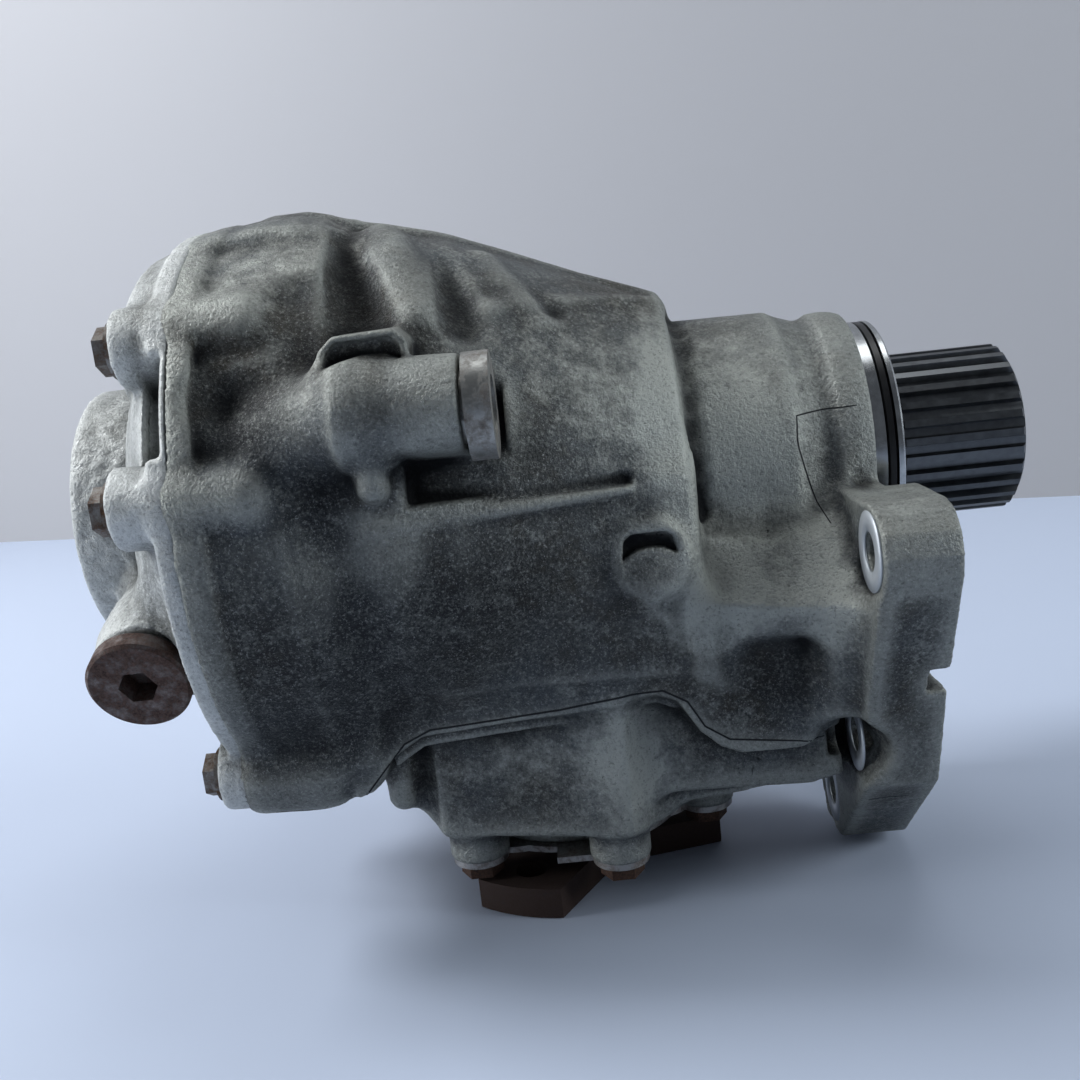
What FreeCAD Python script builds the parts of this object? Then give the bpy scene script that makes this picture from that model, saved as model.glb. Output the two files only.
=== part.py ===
import FreeCAD, Part
import math
import os
from FreeCAD import Vector, Rotation, Placement

# Differential: an angle final drive in a cast aluminium case. Millimetres.
# The origin is the centre of the drive flange's lower face. +Z runs up the pinion axis and
# +X along the output axis, towards the splined output. -Y is the side with the filler plug.

# Where the two axes lie
AXIS_HEIGHT = 133.0          # output axis above the drive flange's lower face
DIFF_X = -74.0               # centre of the differential gears
COVER_JOINT_X = -93.0        # joint plane between case and side cover

# Case: drum, cone and neck
DRUM_RADIUS = 84.5
DRUM_JOINT_RADIUS = 83.0
DRUM_END_X = -62.0
SHOULDER_X = -20.0
SHOULDER_RADIUS = 77.5
CONE_END_X = 43.4
CONE_END_RADIUS = 52.0
NECK_START_X = 48.0
NECK_START_RADIUS = 44.4
NECK_STEP_X = 82.0
NECK_STEP_RADIUS = 42.4
NECK_WAIST_X = 86.5
NECK_WAIST_RADIUS = 40.4
NECK_END_X = 100.8
NECK_END_RADIUS = 41.6
CASE_WALL = 6.0
JOINT_RIB_RADIUS = 87.5      # thin rim on both sides of the cover joint
JOINT_RIB_WIDTH = 6.0

# Ribs, pad and bosses on the drum
PAD_RADIUS = 90.0            # raised block over the top of the cover joint
PAD_END_ANGLE = 104.0
PAD_SWEEP = 48.0
RIDGE_HEIGHT = 6.5           # straight ridge from the drum down to the end of the cone
RIDGE_WIDTH = 9.0
RIDGE_ANGLES = (92.0, 62.0, 30.0)
TUBE_BOSS_RADIUS = 13.0
TUBE_BOSS_START_X = -62.0
TUBE_BOSS_END_X = -14.0
TUBE_BOSS_Y = -78.0
TUBE_BOSS_Z = 164.5
CORE_BORE_RADIUS = 9.5
CORE_BORE_DEPTH = 12.0
CORE_PLUG_RADIUS = 14.2
CORE_PLUG_LENGTH = 7.0
CORE_RELIEF = 1.2            # room cut in the cone around the rim of the core plug

# Side cover
COVER_RIM_RADIUS = 83.0
COVER_BODY_RADIUS = 66.0
COVER_END_X = -140.0
COVER_BOSS_RADIUS = 42.0
COVER_BOSS_ROOT_X = -120.0
COVER_WALL = 7.0
PILOT_DEPTH = 5.0
PILOT_WALL = 6.0

# Bolts of the side cover
COVER_BOLT_CIRCLE = 76.5     # radius
COVER_BOLT_COUNT = 10        # places on the circle, three of them left out for pad, plug and ear
COVER_BOLT_FIRST = 10.3      # degrees up from the front
COVER_BOLT_SKIPPED = (2, 8, 9)
COVER_BOLT_SEAT_X = -111.0
EAR_SEAT_X = -103.5
EAR_BOLT_RADIUS = 89.0
EAR_BOLT_ANGLE = -57.0
BOSS_RADIUS = 12.0
BOSS_END_X = -66.0
M8_RADIUS = 4.0
M8_ACROSS_FLATS = 12.0
M8_HEAD_HEIGHT = 5.5
M8_FLANGE_RADIUS = 8.2
M8_FLANGE_HEIGHT = 1.6
COVER_BOLT_LENGTH = 30.0

# Filler, drain and breather
FILLER_ANGLE = -31.0
FILLER_X = -118.2
FILLER_SEAT_RADIUS = 70.0    # distance of the gasket face from the output axis
FILLER_TILT = 10.0           # how far the plug leans towards level
FILLER_NECK_RADIUS = 14.5
FILLER_NECK_ROOT_RADIUS = 10.5
FILLER_NECK_LENGTH = 26.0
FILLER_HEAD_RADIUS = 15.0
FILLER_HEAD_HEIGHT = 6.0
FILLER_THREAD_RADIUS = 9.0
FILLER_THREAD_LENGTH = 12.0
FILLER_BORE_DEPTH = 15.0
FILLER_PASSAGE_RADIUS = 4.5
FILLER_SOCKET = 10.0
DRAIN_ANGLE = -112.0
DRAIN_X = -70.0
DRAIN_HEAD_RADIUS = 12.0
DRAIN_HEAD_HEIGHT = 5.0
DRAIN_THREAD_RADIUS = 7.0
GASKET_HEIGHT = 1.6
BREATHER_ANGLE = 128.0
BREATHER_X = -38.0
BREATHER_RADIUS = 6.0
BREATHER_HEIGHT = 10.0

# Pinion tower, its plate and bolts
TOWER_BOLT_CIRCLE = 46.0     # radius
TOWER_BOLT_COUNT = 6
TOWER_BOLT_FIRST = -132.0
TOWER_BOSS_RADIUS = 9.5
TOWER_SKIN = 0.8             # how far the tower's wall stands outside its bolt bosses
TOWER_FACE_Z = 28.0
TOWER_TOP_Z = 80.0
TOWER_NECK_RADIUS = 34.5
PLATE_TOP_Z = 17.6
PLATE_THICKNESS = 2.0
PLATE_RING_RADIUS = 37.0
TOWER_BOLT_HEAD = 4.6
TOWER_BOLT_LENGTH = 20.0

# Mounting flange under the neck
FLANGE_SEAT_X = 88.0         # spotfaced side
FLANGE_FACE_X = 110.0        # joint face
FLANGE_HOLE_RADIUS = 5.5
FLANGE_SPOT_RADIUS = 12.0
FLANGE_SPOT_DEPTH = 1.0
UPPER_HOLE_Z = 114.0
UPPER_FRONT_Y = -75.0
UPPER_REAR_Y = 66.0
MIDDLE_HOLE_Z = 50.0
MIDDLE_FRONT_Y = -45.0
MIDDLE_REAR_Y = 38.0
LOWER_HOLE_Y = -8.0
LOWER_HOLE_Z = 15.5
FLANGE_EAR_RADIUS = 12.5
NOTCH_Z = 70.5               # relief in the front edge of the joint face
NOTCH_WIDTH = 7.5
NOTCH_DEPTH = 6.0
COLLAR_ROOM_RADIUS = 50.0    # the mating collar that slides over the spigot
WEB_FRONT_Y = -60.0
WEB_WALL = 8.0
WEB_START_X = -30.0
WEB_SOLE_Z = 66.0            # levels of the web's outline at the tower: underside, edge, belly, top
WEB_EDGE_Z = 82.0
WEB_BELLY_Z = 112.0
WEB_TOP_Z = 140.0
WEB_SOLE_BACK = 10.0         # how far they lie behind or before the front
WEB_BELLY_OUT = 2.0
WEB_TOP_BACK = 22.0
WEB_FAR_SOLE_Z = 48.0        # the same at the mounting flange
WEB_FAR_EDGE_Z = 66.0
WEB_FAR_BELLY_Z = 108.0
WEB_FAR_TOP_Z = 124.0
WEB_FAR_SOLE_BACK = 12.0
WEB_FAR_EDGE_OUT = 3.0
WEB_FAR_BELLY_OUT = 10.0
WEB_FAR_TOP_BACK = 16.0
GUSSET_FRONT_Y = -32.0
GUSSET_WIDTH = 46.0
GUSSET_START_X = -66.0
GUSSET_KNEE_X = -44.0
GUSSET_END_X = -30.0
GUSSET_HIGH_Z = 60.0
GUSSET_LOW_Z = 30.0
FLOOR_FRONT_Y = -34.0
FLOOR_BACK_Y = 22.0
FLOOR_START_X = 20.0
FLOOR_RISE = 8.0
FLOOR_TOP_Z = 70.0
FLOOR_FAR_TOP_Z = 56.0

# Spigot and right output
SPIGOT_RADIUS = 38.2
SPIGOT_END_X = 110.0
O_RING_X = 106.3
O_RING_SECTION = 3.0
O_RING_GROOVE = 2.7
SHAFT_BEARING_X = 62.0
SHAFT_BEARING_WIDTH = 12.0
SHAFT_BEARING_OUTER = 36.0
SHAFT_BEARING_INNER = 25.0
BALL_RADIUS = 3.0
BALL_COUNT = 12
CIRCLIP_THICKNESS = 1.75
CIRCLIP_DEPTH = 1.6
RIGHT_SEAL_X = 97.5
RIGHT_SEAL_WIDTH = 9.0
RIGHT_SEAL_RADIUS = 33.0
SEAL_JOURNAL_RADIUS = 27.0
SPLINE_START_X = 113.0
SPLINE_END_X = 150.5
SPLINE_RADIUS = 26.5
SPLINE_DEPTH = 2.1
SPLINE_TEETH = 29
SHAFT_RADIUS = 17.0
SHAFT_BORE_RADIUS = 15.0
SHAFT_BORE_DEPTH = 55.0

# Ring gear and pinion
RING_TEETH = 40
PINION_TEETH = 13
RING_PITCH_RADIUS = 68.0
GEAR_FACE_WIDTH = 23.0
GEAR_PRESSURE_ANGLE = 20.0
GEAR_BACKLASH = 0.36
PINION_ADDENDUM = 3.2
RING_ADDENDUM = 1.55
TOOTH_CLEARANCE = 0.7
PINION_TOOTH_SHARE = 0.54
RING_RIM_RADIUS = 69.0
RING_BORE_RADIUS = 44.0
RING_BACK_X = -46.0
RING_BOLT_CIRCLE = 57.0
RING_BOLT_COUNT = 8
RING_BOLT_RADIUS = 5.0
RING_BOLT_LENGTH = 22.0
RING_BOLT_HEAD = 6.5
RING_BOLT_ACROSS_FLATS = 14.0

# Differential cage and gears
CAGE_SPHERE_RADIUS = 36.0
CAGE_WALL = 6.0
CAGE_FLANGE_RADIUS = 66.0
CAGE_FLANGE_WIDTH = 10.0
CAGE_TUBE_RADIUS = 31.0
CAGE_LEFT_BORE = 16.0
CAGE_RIGHT_BORE = 20.0
CAGE_WINDOW_WIDTH = 34.0
CAGE_WINDOW_HEIGHT = 44.0
SIDE_TEETH = 14
SPIDER_TEETH = 10
DIFF_MODULE = 3.6
DIFF_FACE_WIDTH = 10.0
DIFF_PRESSURE_ANGLE = 25.0
DIFF_BACKLASH = 0.36
SPIDER_ADDENDUM = 2.9
SIDE_ADDENDUM = 2.1
DIFF_TOOTH_CLEARANCE = 0.7
SPIDER_TOOTH_SHARE = 0.53
SIDE_BACK_DISTANCE = 27.0    # from the centre of the differential to the back of a side gear
SIDE_HUB_RADIUS = 20.0
WASHER_THICKNESS = 1.2
CROSS_PIN_RADIUS = 8.0
ROLL_PIN_RADIUS = 2.0
LEFT_SPLINE_TEETH = 26
LEFT_SPLINE_RADIUS = 13.5
LEFT_SPLINE_DEPTH = 1.2

# Carrier bearings
LEFT_BEARING_X = -130.0
LEFT_BEARING_WIDTH = 14.0
LEFT_BEARING_OUTER = 37.0
LEFT_BEARING_INNER = 22.5
RIGHT_BEARING_X = 28.0
RIGHT_BEARING_WIDTH = 16.0
RIGHT_BEARING_OUTER = 40.0
RIGHT_BEARING_INNER = 27.0
LEFT_SHIM = 1.5
LEFT_SEAL_WIDTH = 7.5
LEFT_SEAL_OUTER = 32.0
LEFT_SEAL_INNER = 20.0

# Pinion shaft and its bearings
HEAD_BEARING_TOP_Z = 62.0
HEAD_BEARING_WIDTH = 15.0
HEAD_BEARING_OUTER = 36.0
HEAD_BEARING_INNER = 17.5
TAIL_BEARING_WIDTH = 14.0
TAIL_BEARING_OUTER = 33.0
TAIL_BEARING_INNER = 15.0
TAIL_BEARING_Z = 28.0
CUP_SHOULDER = 5.0           # how far the case's shoulder stands in behind a cup
SLEEVE_WALL = 2.0
PINION_SPLINE_RADIUS = 13.0
PINION_THREAD_RADIUS = 9.0
PINION_END_Z = 2.0
NUT_ACROSS_FLATS = 27.0
NUT_HEIGHT = 9.0
PINION_SEAL_OUTER = 30.0
PINION_SEAL_WIDTH = 9.0

# Drive flange
ARM_REACH = 50.0
ARM_TIP_WIDTH = 28.0
ARM_ROOT_WIDTH = 40.0
ARM_THICKNESS = 9.8
ARM_COUNT = 3
ARM_FIRST = -113.5
ARM_HOLE_RADIUS = 5.25
ARM_HOLE_CIRCLE = 38.0
HUB_RADIUS = 21.0
RECESS_RADIUS = 17.5
RECESS_DEPTH = 12.5

# Clearances
RUNNING_GAP = 0.05           # radial, shaft in its bore
OPEN_GAP = 0.3               # between pieces that pass each other
ROLLER_GAP = 0.25            # each side of a rolling element
ROLLER_PITCH = 3.8           # spacing of rollers, in radii of their big ends
DOWEL_RADIUS = 4.0
DOWEL_LENGTH = 14.0

X_AXIS = Vector(1, 0, 0)
Z_AXIS = Vector(0, 0, 1)
MAIN_CENTRE = Vector(0, 0, AXIS_HEIGHT)
ORIGIN = Vector(0, 0, 0)
RATIO_ANGLE = math.atan(PINION_TEETH / RING_TEETH)
CONE_DISTANCE = RING_PITCH_RADIUS / math.cos(RATIO_ANGLE)
DIFF_SIDE_RADIUS = SIDE_TEETH * DIFF_MODULE / 2
DIFF_SPIDER_RADIUS = SPIDER_TEETH * DIFF_MODULE / 2
DIFF_CONE_DISTANCE = math.hypot(DIFF_SIDE_RADIUS, DIFF_SPIDER_RADIUS)
HEAD_BEARING_Z = HEAD_BEARING_TOP_Z - HEAD_BEARING_WIDTH
TAIL_BEARING_TOP_Z = TAIL_BEARING_Z + TAIL_BEARING_WIDTH


def revolved(points, centre, along):
    """Solid of revolution: each point is (place along the axis, radius)."""
    if along == "x":
        corners = [Vector(a, 0, r) + centre for a, r in points]
        axis = X_AXIS
    else:
        corners = [Vector(r, 0, a) + centre for a, r in points]
        axis = Z_AXIS
    wire = Part.makePolygon(corners + [corners[0]])
    return Part.Face(wire).revolve(centre, axis, 360)


def revolved_x(points):
    return revolved(points, MAIN_CENTRE, "x")


def revolved_z(points):
    return revolved(points, ORIGIN, "z")


def disc_x(start, end, radius):
    return Part.makeCylinder(radius, end - start, Vector(start, 0, AXIS_HEIGHT), X_AXIS)


def disc_z(start, end, radius):
    return Part.makeCylinder(radius, end - start, Vector(0, 0, start), Z_AXIS)


def ring_x(start, end, outer, inner):
    return disc_x(start, end, outer).cut(disc_x(start, end, inner))


def ring_z(start, end, outer, inner):
    return disc_z(start, end, outer).cut(disc_z(start, end, inner))


def polar_main(radius, angle):
    """Point of the YZ plane at an angle up from the front, about the output axis."""
    turn = math.radians(angle)
    return -radius * math.cos(turn), AXIS_HEIGHT + radius * math.sin(turn)


def turned_main(shape, angle):
    """Copy turned about the output axis, from the top to an angle up from the front."""
    copy = shape.copy()
    copy.rotate(MAIN_CENTRE, X_AXIS, 90 - angle)
    return copy


def turned_pinion(shape, angle):
    copy = shape.copy()
    copy.rotate(ORIGIN, Z_AXIS, angle)
    return copy


def rod(base, direction, radius, length):
    return Part.makeCylinder(radius, length, base, direction)


def hexagon(base, direction, across_flats, height):
    """Hexagonal prism on a base point."""
    corner = across_flats / 2 / math.cos(math.radians(30))
    points = [Vector(corner * math.cos(math.radians(60 * k)), corner * math.sin(math.radians(60 * k)), 0)
              for k in range(6)]
    prism = Part.Face(Part.makePolygon(points + [points[0]])).extrude(Vector(0, 0, height))
    prism.Placement = Placement(base, Rotation(Z_AXIS, direction))
    return prism


def hex_bolt(seat, outward, radius, length, across_flats, head, flange_radius, flange):
    """Bolt whose head stands outward from its seat and whose shank goes the other way."""
    outward = Vector(outward).normalize()
    parts = [hexagon(seat, outward, across_flats, head), rod(seat - outward * length, outward, radius, length)]
    if flange > 0:
        parts.append(rod(seat, outward, flange_radius, flange))
    return parts[0].multiFuse(parts[1:]).removeSplitter()


def star(radius, depth, teeth, start, end, phase=0.0):
    """Splined bar along X at the origin: straight teeth with flat tops and roots."""
    pitch = 2 * math.pi / teeth
    points = []
    for k in range(teeth):
        middle = k * pitch + math.radians(phase)
        for part, r in ((-0.30, radius - depth), (-0.19, radius), (0.19, radius), (0.30, radius - depth)):
            turn = middle + part * pitch
            points.append(Vector(start, r * math.sin(turn), r * math.cos(turn)))
    return Part.Face(Part.makePolygon(points + [points[0]])).extrude(Vector(end - start, 0, 0))


def involute(angle):
    return math.tan(angle) - angle


def bevel_space(cone_distance, pitch_radius, teeth, space, addendum, dedendum, pressure, face_width):
    """Cutter for one tooth space of a straight bevel gear, its apex at the origin.

    The gear's axis is Z, its teeth lie below the apex, and the space opens towards -X.
    """
    cone = math.asin(pitch_radius / cone_distance)
    virtual = pitch_radius / math.cos(cone)
    base = virtual * math.cos(math.radians(pressure))
    flat = involute(math.radians(pressure))
    steps = 4
    flank = []
    for k in range(steps + 1):
        rho = virtual - dedendum + (dedendum + addendum * 1.6) * k / steps
        if rho > base:
            spread = space / 2 / virtual + involute(math.acos(base / rho)) - flat
        else:
            spread = space / 2 / virtual - flat
        flank.append((rho * math.cos(spread) - virtual, rho * math.sin(spread)))
    outline = flank + [(u, -v) for u, v in reversed(flank)]
    element = Vector(-math.sin(cone), 0, -math.cos(cone))
    outward = Vector(-math.cos(cone), 0, math.sin(cone))
    sideways = Vector(0, 1, 0)
    heel = [element * cone_distance + outward * u + sideways * v for u, v in outline]
    big = 1 + 0.12
    small = (cone_distance - face_width) / cone_distance - 0.12
    near = [p * small for p in heel]
    far = [p * big for p in heel]
    faces = [Part.Face(Part.makePolygon(near + [near[0]])), Part.Face(Part.makePolygon(far + [far[0]]))]
    count = len(heel)
    for k in range(count):
        j = (k + 1) % count
        faces.append(Part.Face(Part.makePolygon([near[k], near[j], far[j], far[k], near[k]])))
    solid = Part.makeSolid(Part.makeShell(faces))
    if solid.Volume < 0:
        solid.reverse()
    return solid


def bevel_gear(blank, cutter, teeth, first):
    """Blank with its axis on Z and apex at the origin, cut by one space after another."""
    spaces = []
    for k in range(teeth):
        space = cutter.copy()
        space.rotate(ORIGIN, Z_AXIS, first + k * 360.0 / teeth)
        spaces.append(space)
    return blank.cut(spaces)


def taper_race_radii(inner, outer):
    depth = outer - inner
    return {"cone_big": inner + 0.40 * depth, "cone_small": inner + 0.24 * depth,
            "cup_big": inner + 0.76 * depth, "cup_small": inner + 0.56 * depth}


def taper_cone(width, inner, outer):
    """Inner race; its big end is at zero."""
    r = taper_race_radii(inner, outer)
    lip = 0.06 * (outer - inner)
    return [(0, inner), (width, inner), (width, r["cone_small"] + lip), (0.90 * width, r["cone_small"] + lip),
            (0.88 * width, r["cone_small"]), (0.14 * width, r["cone_big"]), (0.12 * width, r["cone_big"] + lip),
            (0, r["cone_big"] + lip)]


def taper_cup(width, inner, outer):
    r = taper_race_radii(inner, outer)
    return [(0.04 * width, r["cup_big"]), (0.96 * width, r["cup_small"]), (0.96 * width, outer), (0.04 * width, outer)]


def taper_rollers(width, inner, outer):
    """Rollers about the Z axis, big ends at zero."""
    r = taper_race_radii(inner, outer)
    ends = []
    for place in (0.20, 0.82):
        cup = r["cup_big"] + (r["cup_small"] - r["cup_big"]) * (place - 0.04) / 0.92
        cone = r["cone_big"] + (r["cone_small"] - r["cone_big"]) * (place - 0.14) / 0.74
        ends.append((Vector((cup + cone) / 2, 0, place * width), (cup - cone) / 2))
    start, big_half = ends[0]
    end, small_half = ends[1]
    direction = end - start
    lean = math.cos(math.atan2(start.x - end.x, direction.z))
    big = big_half * lean - ROLLER_GAP
    small = small_half * lean - ROLLER_GAP
    roller = Part.makeCone(big, small, direction.Length, start, direction)
    count = int(2 * math.pi * end.x / (ROLLER_PITCH * big))
    rollers = []
    for k in range(count):
        copy = roller.copy()
        copy.rotate(ORIGIN, Z_AXIS, k * 360.0 / count)
        rollers.append(copy)
    return Part.makeCompound(rollers)


def placed(shape, centre, direction):
    """Shape drawn about the Z axis, moved to a centre with its Z along a direction."""
    copy = shape.copy()
    copy.Placement = Placement(centre, Rotation(Z_AXIS, direction)).multiply(copy.Placement)
    return copy


def taper_bearing(centre, direction, width, inner, outer):
    """Cup, cone and rollers, with the big ends at the centre point."""
    cup = placed(revolved_z(taper_cup(width, inner, outer)), centre, direction)
    cone = placed(revolved_z(taper_cone(width, inner, outer)), centre, direction)
    rollers = placed(taper_rollers(width, inner, outer), centre, direction)
    return cup, cone, rollers


def lip_seal(start, width, outer, inner, along):
    """Shaft seal with a hollow front, drawn as one ring."""
    case = 1.6
    lip = 1.2
    back = start + math.copysign(case, width)
    profile = [(start, outer), (start + width, outer), (start + width, outer - case),
               (back, outer - case), (back, inner + lip + 1.5), (start + 0.75 * width, inner + lip),
               (start + 0.75 * width, inner), (start, inner)]
    return revolved(profile, MAIN_CENTRE if along == "x" else ORIGIN, along)


def cover_bolt_angles():
    return [COVER_BOLT_FIRST + k * 360.0 / COVER_BOLT_COUNT
            for k in range(COVER_BOLT_COUNT) if k not in COVER_BOLT_SKIPPED]


def cover_bolt_places():
    places = [polar_main(COVER_BOLT_CIRCLE, a) for a in cover_bolt_angles()]
    places.append(polar_main(EAR_BOLT_RADIUS, EAR_BOLT_ANGLE))
    return places


def cover_bolt_seats():
    """Where the bolt heads lie on the cover: the ear is thinner than the other bosses."""
    seats = [Vector(COVER_BOLT_SEAT_X, y, z) for y, z in cover_bolt_places()]
    seats[-1].x = EAR_SEAT_X
    return seats


def tower_bolt_places():
    places = []
    for k in range(TOWER_BOLT_COUNT):
        turn = math.radians(TOWER_BOLT_FIRST + k * 360.0 / TOWER_BOLT_COUNT)
        places.append((TOWER_BOLT_CIRCLE * math.cos(turn), TOWER_BOLT_CIRCLE * math.sin(turn)))
    return places


def filler_frame():
    """Gasket face centre and outward direction of the filler plug."""
    y, z = polar_main(FILLER_SEAT_RADIUS, FILLER_ANGLE)
    turn = math.radians(FILLER_ANGLE + FILLER_TILT)
    return Vector(FILLER_X, y, z), Vector(0, -math.cos(turn), math.sin(turn))


def drum_radius(x):
    """Outer radius of the casting between the joint's rim and the end of the drum."""
    start = COVER_JOINT_X + JOINT_RIB_WIDTH + 3
    return DRUM_JOINT_RADIUS + (x - start) / (DRUM_END_X - start) * (DRUM_RADIUS - DRUM_JOINT_RADIUS)


def drain_frame():
    y, z = polar_main(drum_radius(DRAIN_X) + 1.5, DRAIN_ANGLE)
    turn = math.radians(DRAIN_ANGLE)
    return Vector(DRAIN_X, y, z), Vector(0, -math.cos(turn), math.sin(turn))


def breather_frame():
    radius = cone_radius(BREATHER_X) + 1.0
    y, z = polar_main(radius, BREATHER_ANGLE)
    turn = math.radians(BREATHER_ANGLE)
    return Vector(BREATHER_X, y, z), Vector(0, -math.cos(turn), math.sin(turn))


def cone_radius(x):
    """Outer radius of the casting between the shoulder and the end of the cone."""
    if x < SHOULDER_X:
        share = (x - DRUM_END_X) / (SHOULDER_X - DRUM_END_X)
        return DRUM_RADIUS + share * (SHOULDER_RADIUS - DRUM_RADIUS)
    share = (x - SHOULDER_X) / (CONE_END_X - SHOULDER_X)
    return SHOULDER_RADIUS + share * (CONE_END_RADIUS - SHOULDER_RADIUS)


def case_drum():
    """Drum, cone and neck as one turned outline, with the rim at the cover joint."""
    outline = [(COVER_JOINT_X, 0), (COVER_JOINT_X, JOINT_RIB_RADIUS), (COVER_JOINT_X + JOINT_RIB_WIDTH, JOINT_RIB_RADIUS),
               (COVER_JOINT_X + JOINT_RIB_WIDTH + 3, DRUM_JOINT_RADIUS), (DRUM_END_X, DRUM_RADIUS),
               (SHOULDER_X, SHOULDER_RADIUS), (CONE_END_X, CONE_END_RADIUS), (NECK_START_X - 2, NECK_START_RADIUS + 2),
               (NECK_START_X, NECK_START_RADIUS), (NECK_STEP_X, NECK_STEP_RADIUS), (NECK_WAIST_X, NECK_WAIST_RADIUS),
               (NECK_END_X - 5, NECK_END_RADIUS), (NECK_END_X, NECK_END_RADIUS), (NECK_END_X, 0)]
    return revolved_x(outline)


def case_ridges():
    """Straight ribs that stand on the cone and run on to the drum."""
    ridges = []
    side = -RIDGE_WIDTH / 2
    crest = [(DRUM_END_X - 24, DRUM_RADIUS - 1), (DRUM_END_X - 12, DRUM_RADIUS + RIDGE_HEIGHT),
             (DRUM_END_X, DRUM_RADIUS + RIDGE_HEIGHT - 0.5), (SHOULDER_X, SHOULDER_RADIUS + 1.5),
             (CONE_END_X, CONE_END_RADIUS + 0.5), (CONE_END_X, CONE_END_RADIUS - 3),
             (SHOULDER_X, SHOULDER_RADIUS - 3), (DRUM_END_X - 24, DRUM_RADIUS - 3)]
    corners = [Vector(x, side, AXIS_HEIGHT + r) for x, r in crest]
    rib = Part.Face(Part.makePolygon(corners + [corners[0]])).extrude(Vector(0, RIDGE_WIDTH, 0))
    for angle in RIDGE_ANGLES:
        ridges.append(turned_main(rib, angle))
    return ridges


def domed_boss(y, z, start, end, radius):
    """Round boss along X that ends in a dome."""
    body = Part.makeCylinder(radius, end - start, Vector(start, y, z), X_AXIS)
    dome = Part.makeSphere(radius, Vector(end, y, z))
    return [body, dome]


def case_bolt_bosses():
    bosses = []
    for y, z in cover_bolt_places():
        bosses += domed_boss(y, z, COVER_JOINT_X, BOSS_END_X, BOSS_RADIUS)
    bosses.append(ear_links(COVER_JOINT_X, BOSS_END_X, BOSS_RADIUS))
    return bosses


def tower_outline(bottom, top):
    """Rounded hexagon through the bosses of the pinion tower."""
    corner_reach = TOWER_BOLT_CIRCLE + (TOWER_BOSS_RADIUS + TOWER_SKIN) / math.cos(math.radians(180.0 / TOWER_BOLT_COUNT))
    points = []
    for k in range(TOWER_BOLT_COUNT):
        turn = math.radians(TOWER_BOLT_FIRST + k * 360.0 / TOWER_BOLT_COUNT)
        points.append(Vector(corner_reach * math.cos(turn), corner_reach * math.sin(turn), bottom))
    prism = Part.Face(Part.makePolygon(points + [points[0]])).extrude(Vector(0, 0, top - bottom))
    upright = [e for e in prism.Edges if abs(e.tangentAt(e.FirstParameter).z) > 0.99]
    return prism.makeFillet(TOWER_BOSS_RADIUS * 0.98, upright)


def case_tower():
    parts = [tower_outline(TOWER_FACE_Z, TOWER_TOP_Z), disc_z(PLATE_TOP_Z, TOWER_FACE_Z, TOWER_NECK_RADIUS)]
    for x, y in tower_bolt_places():
        parts.append(Part.makeCylinder(TOWER_BOSS_RADIUS, TOWER_FACE_Z - PLATE_TOP_Z + 2, Vector(x, y, PLATE_TOP_Z)))
    return parts


def flange_outline():
    """Corners of the mounting flange in the YZ plane, front first, worked out from its holes."""
    ear = FLANGE_EAR_RADIUS
    return [(UPPER_FRONT_Y - ear * 0.7, UPPER_HOLE_Z + ear), (UPPER_FRONT_Y - ear, UPPER_HOLE_Z + ear * 0.3),
            (MIDDLE_FRONT_Y - ear * 1.05, MIDDLE_HOLE_Z - ear * 0.9), (MIDDLE_FRONT_Y + ear * 0.8, MIDDLE_HOLE_Z - ear * 2.4),
            (LOWER_HOLE_Y - ear * 0.6, LOWER_HOLE_Z - ear), (LOWER_HOLE_Y + ear * 0.8, LOWER_HOLE_Z - ear),
            (LOWER_HOLE_Y + ear * 1.4, LOWER_HOLE_Z), (MIDDLE_REAR_Y + ear, MIDDLE_HOLE_Z - ear * 0.4),
            (MIDDLE_REAR_Y + ear, MIDDLE_HOLE_Z + ear * 0.5), (UPPER_REAR_Y + ear, UPPER_HOLE_Z - ear * 0.5),
            (UPPER_REAR_Y + ear, UPPER_HOLE_Z + ear * 0.5), (UPPER_REAR_Y + ear * 0.5, UPPER_HOLE_Z + ear),
            (NECK_STEP_RADIUS * 0.7, UPPER_HOLE_Z + ear), (-NECK_STEP_RADIUS * 0.7, UPPER_HOLE_Z + ear)]


def mounting_flange():
    points = [Vector(FLANGE_SEAT_X, y, z) for y, z in flange_outline()]
    plate = Part.Face(Part.makePolygon(points + [points[0]])).extrude(Vector(FLANGE_FACE_X - FLANGE_SEAT_X, 0, 0))
    edges = [e for e in plate.Edges if abs(e.tangentAt(e.FirstParameter).x) > 0.99]
    return plate.makeFillet(FLANGE_EAR_RADIUS * 0.22, edges)


def web_block(front, inset, start, end):
    """Body between the tower and the mounting flange, seen as the belly of the casting."""
    near = [(front + WEB_SOLE_BACK, WEB_SOLE_Z + inset), (front, WEB_EDGE_Z), (front - WEB_BELLY_OUT, WEB_BELLY_Z - inset),
            (front + WEB_TOP_BACK, WEB_TOP_Z - inset), (0, WEB_TOP_Z - inset), (0, WEB_SOLE_Z + inset)]
    far = [(front + WEB_FAR_SOLE_BACK, WEB_FAR_SOLE_Z + inset), (front - WEB_FAR_EDGE_OUT, WEB_FAR_EDGE_Z),
           (front - WEB_FAR_BELLY_OUT, WEB_FAR_BELLY_Z - inset), (front + WEB_FAR_TOP_BACK, WEB_FAR_TOP_Z - inset),
           (0, WEB_FAR_TOP_Z - inset), (0, WEB_FAR_SOLE_Z + inset)]
    wires = []
    for x, corners in ((start, near), (end, far)):
        points = [Vector(x, y, z) for y, z in corners]
        wires.append(Part.makePolygon(points + [points[0]]))
    return Part.makeLoft(wires, True, True)


def case_web():
    return [web_block(WEB_FRONT_Y, 0, WEB_START_X, FLANGE_SEAT_X + 2)]


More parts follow.
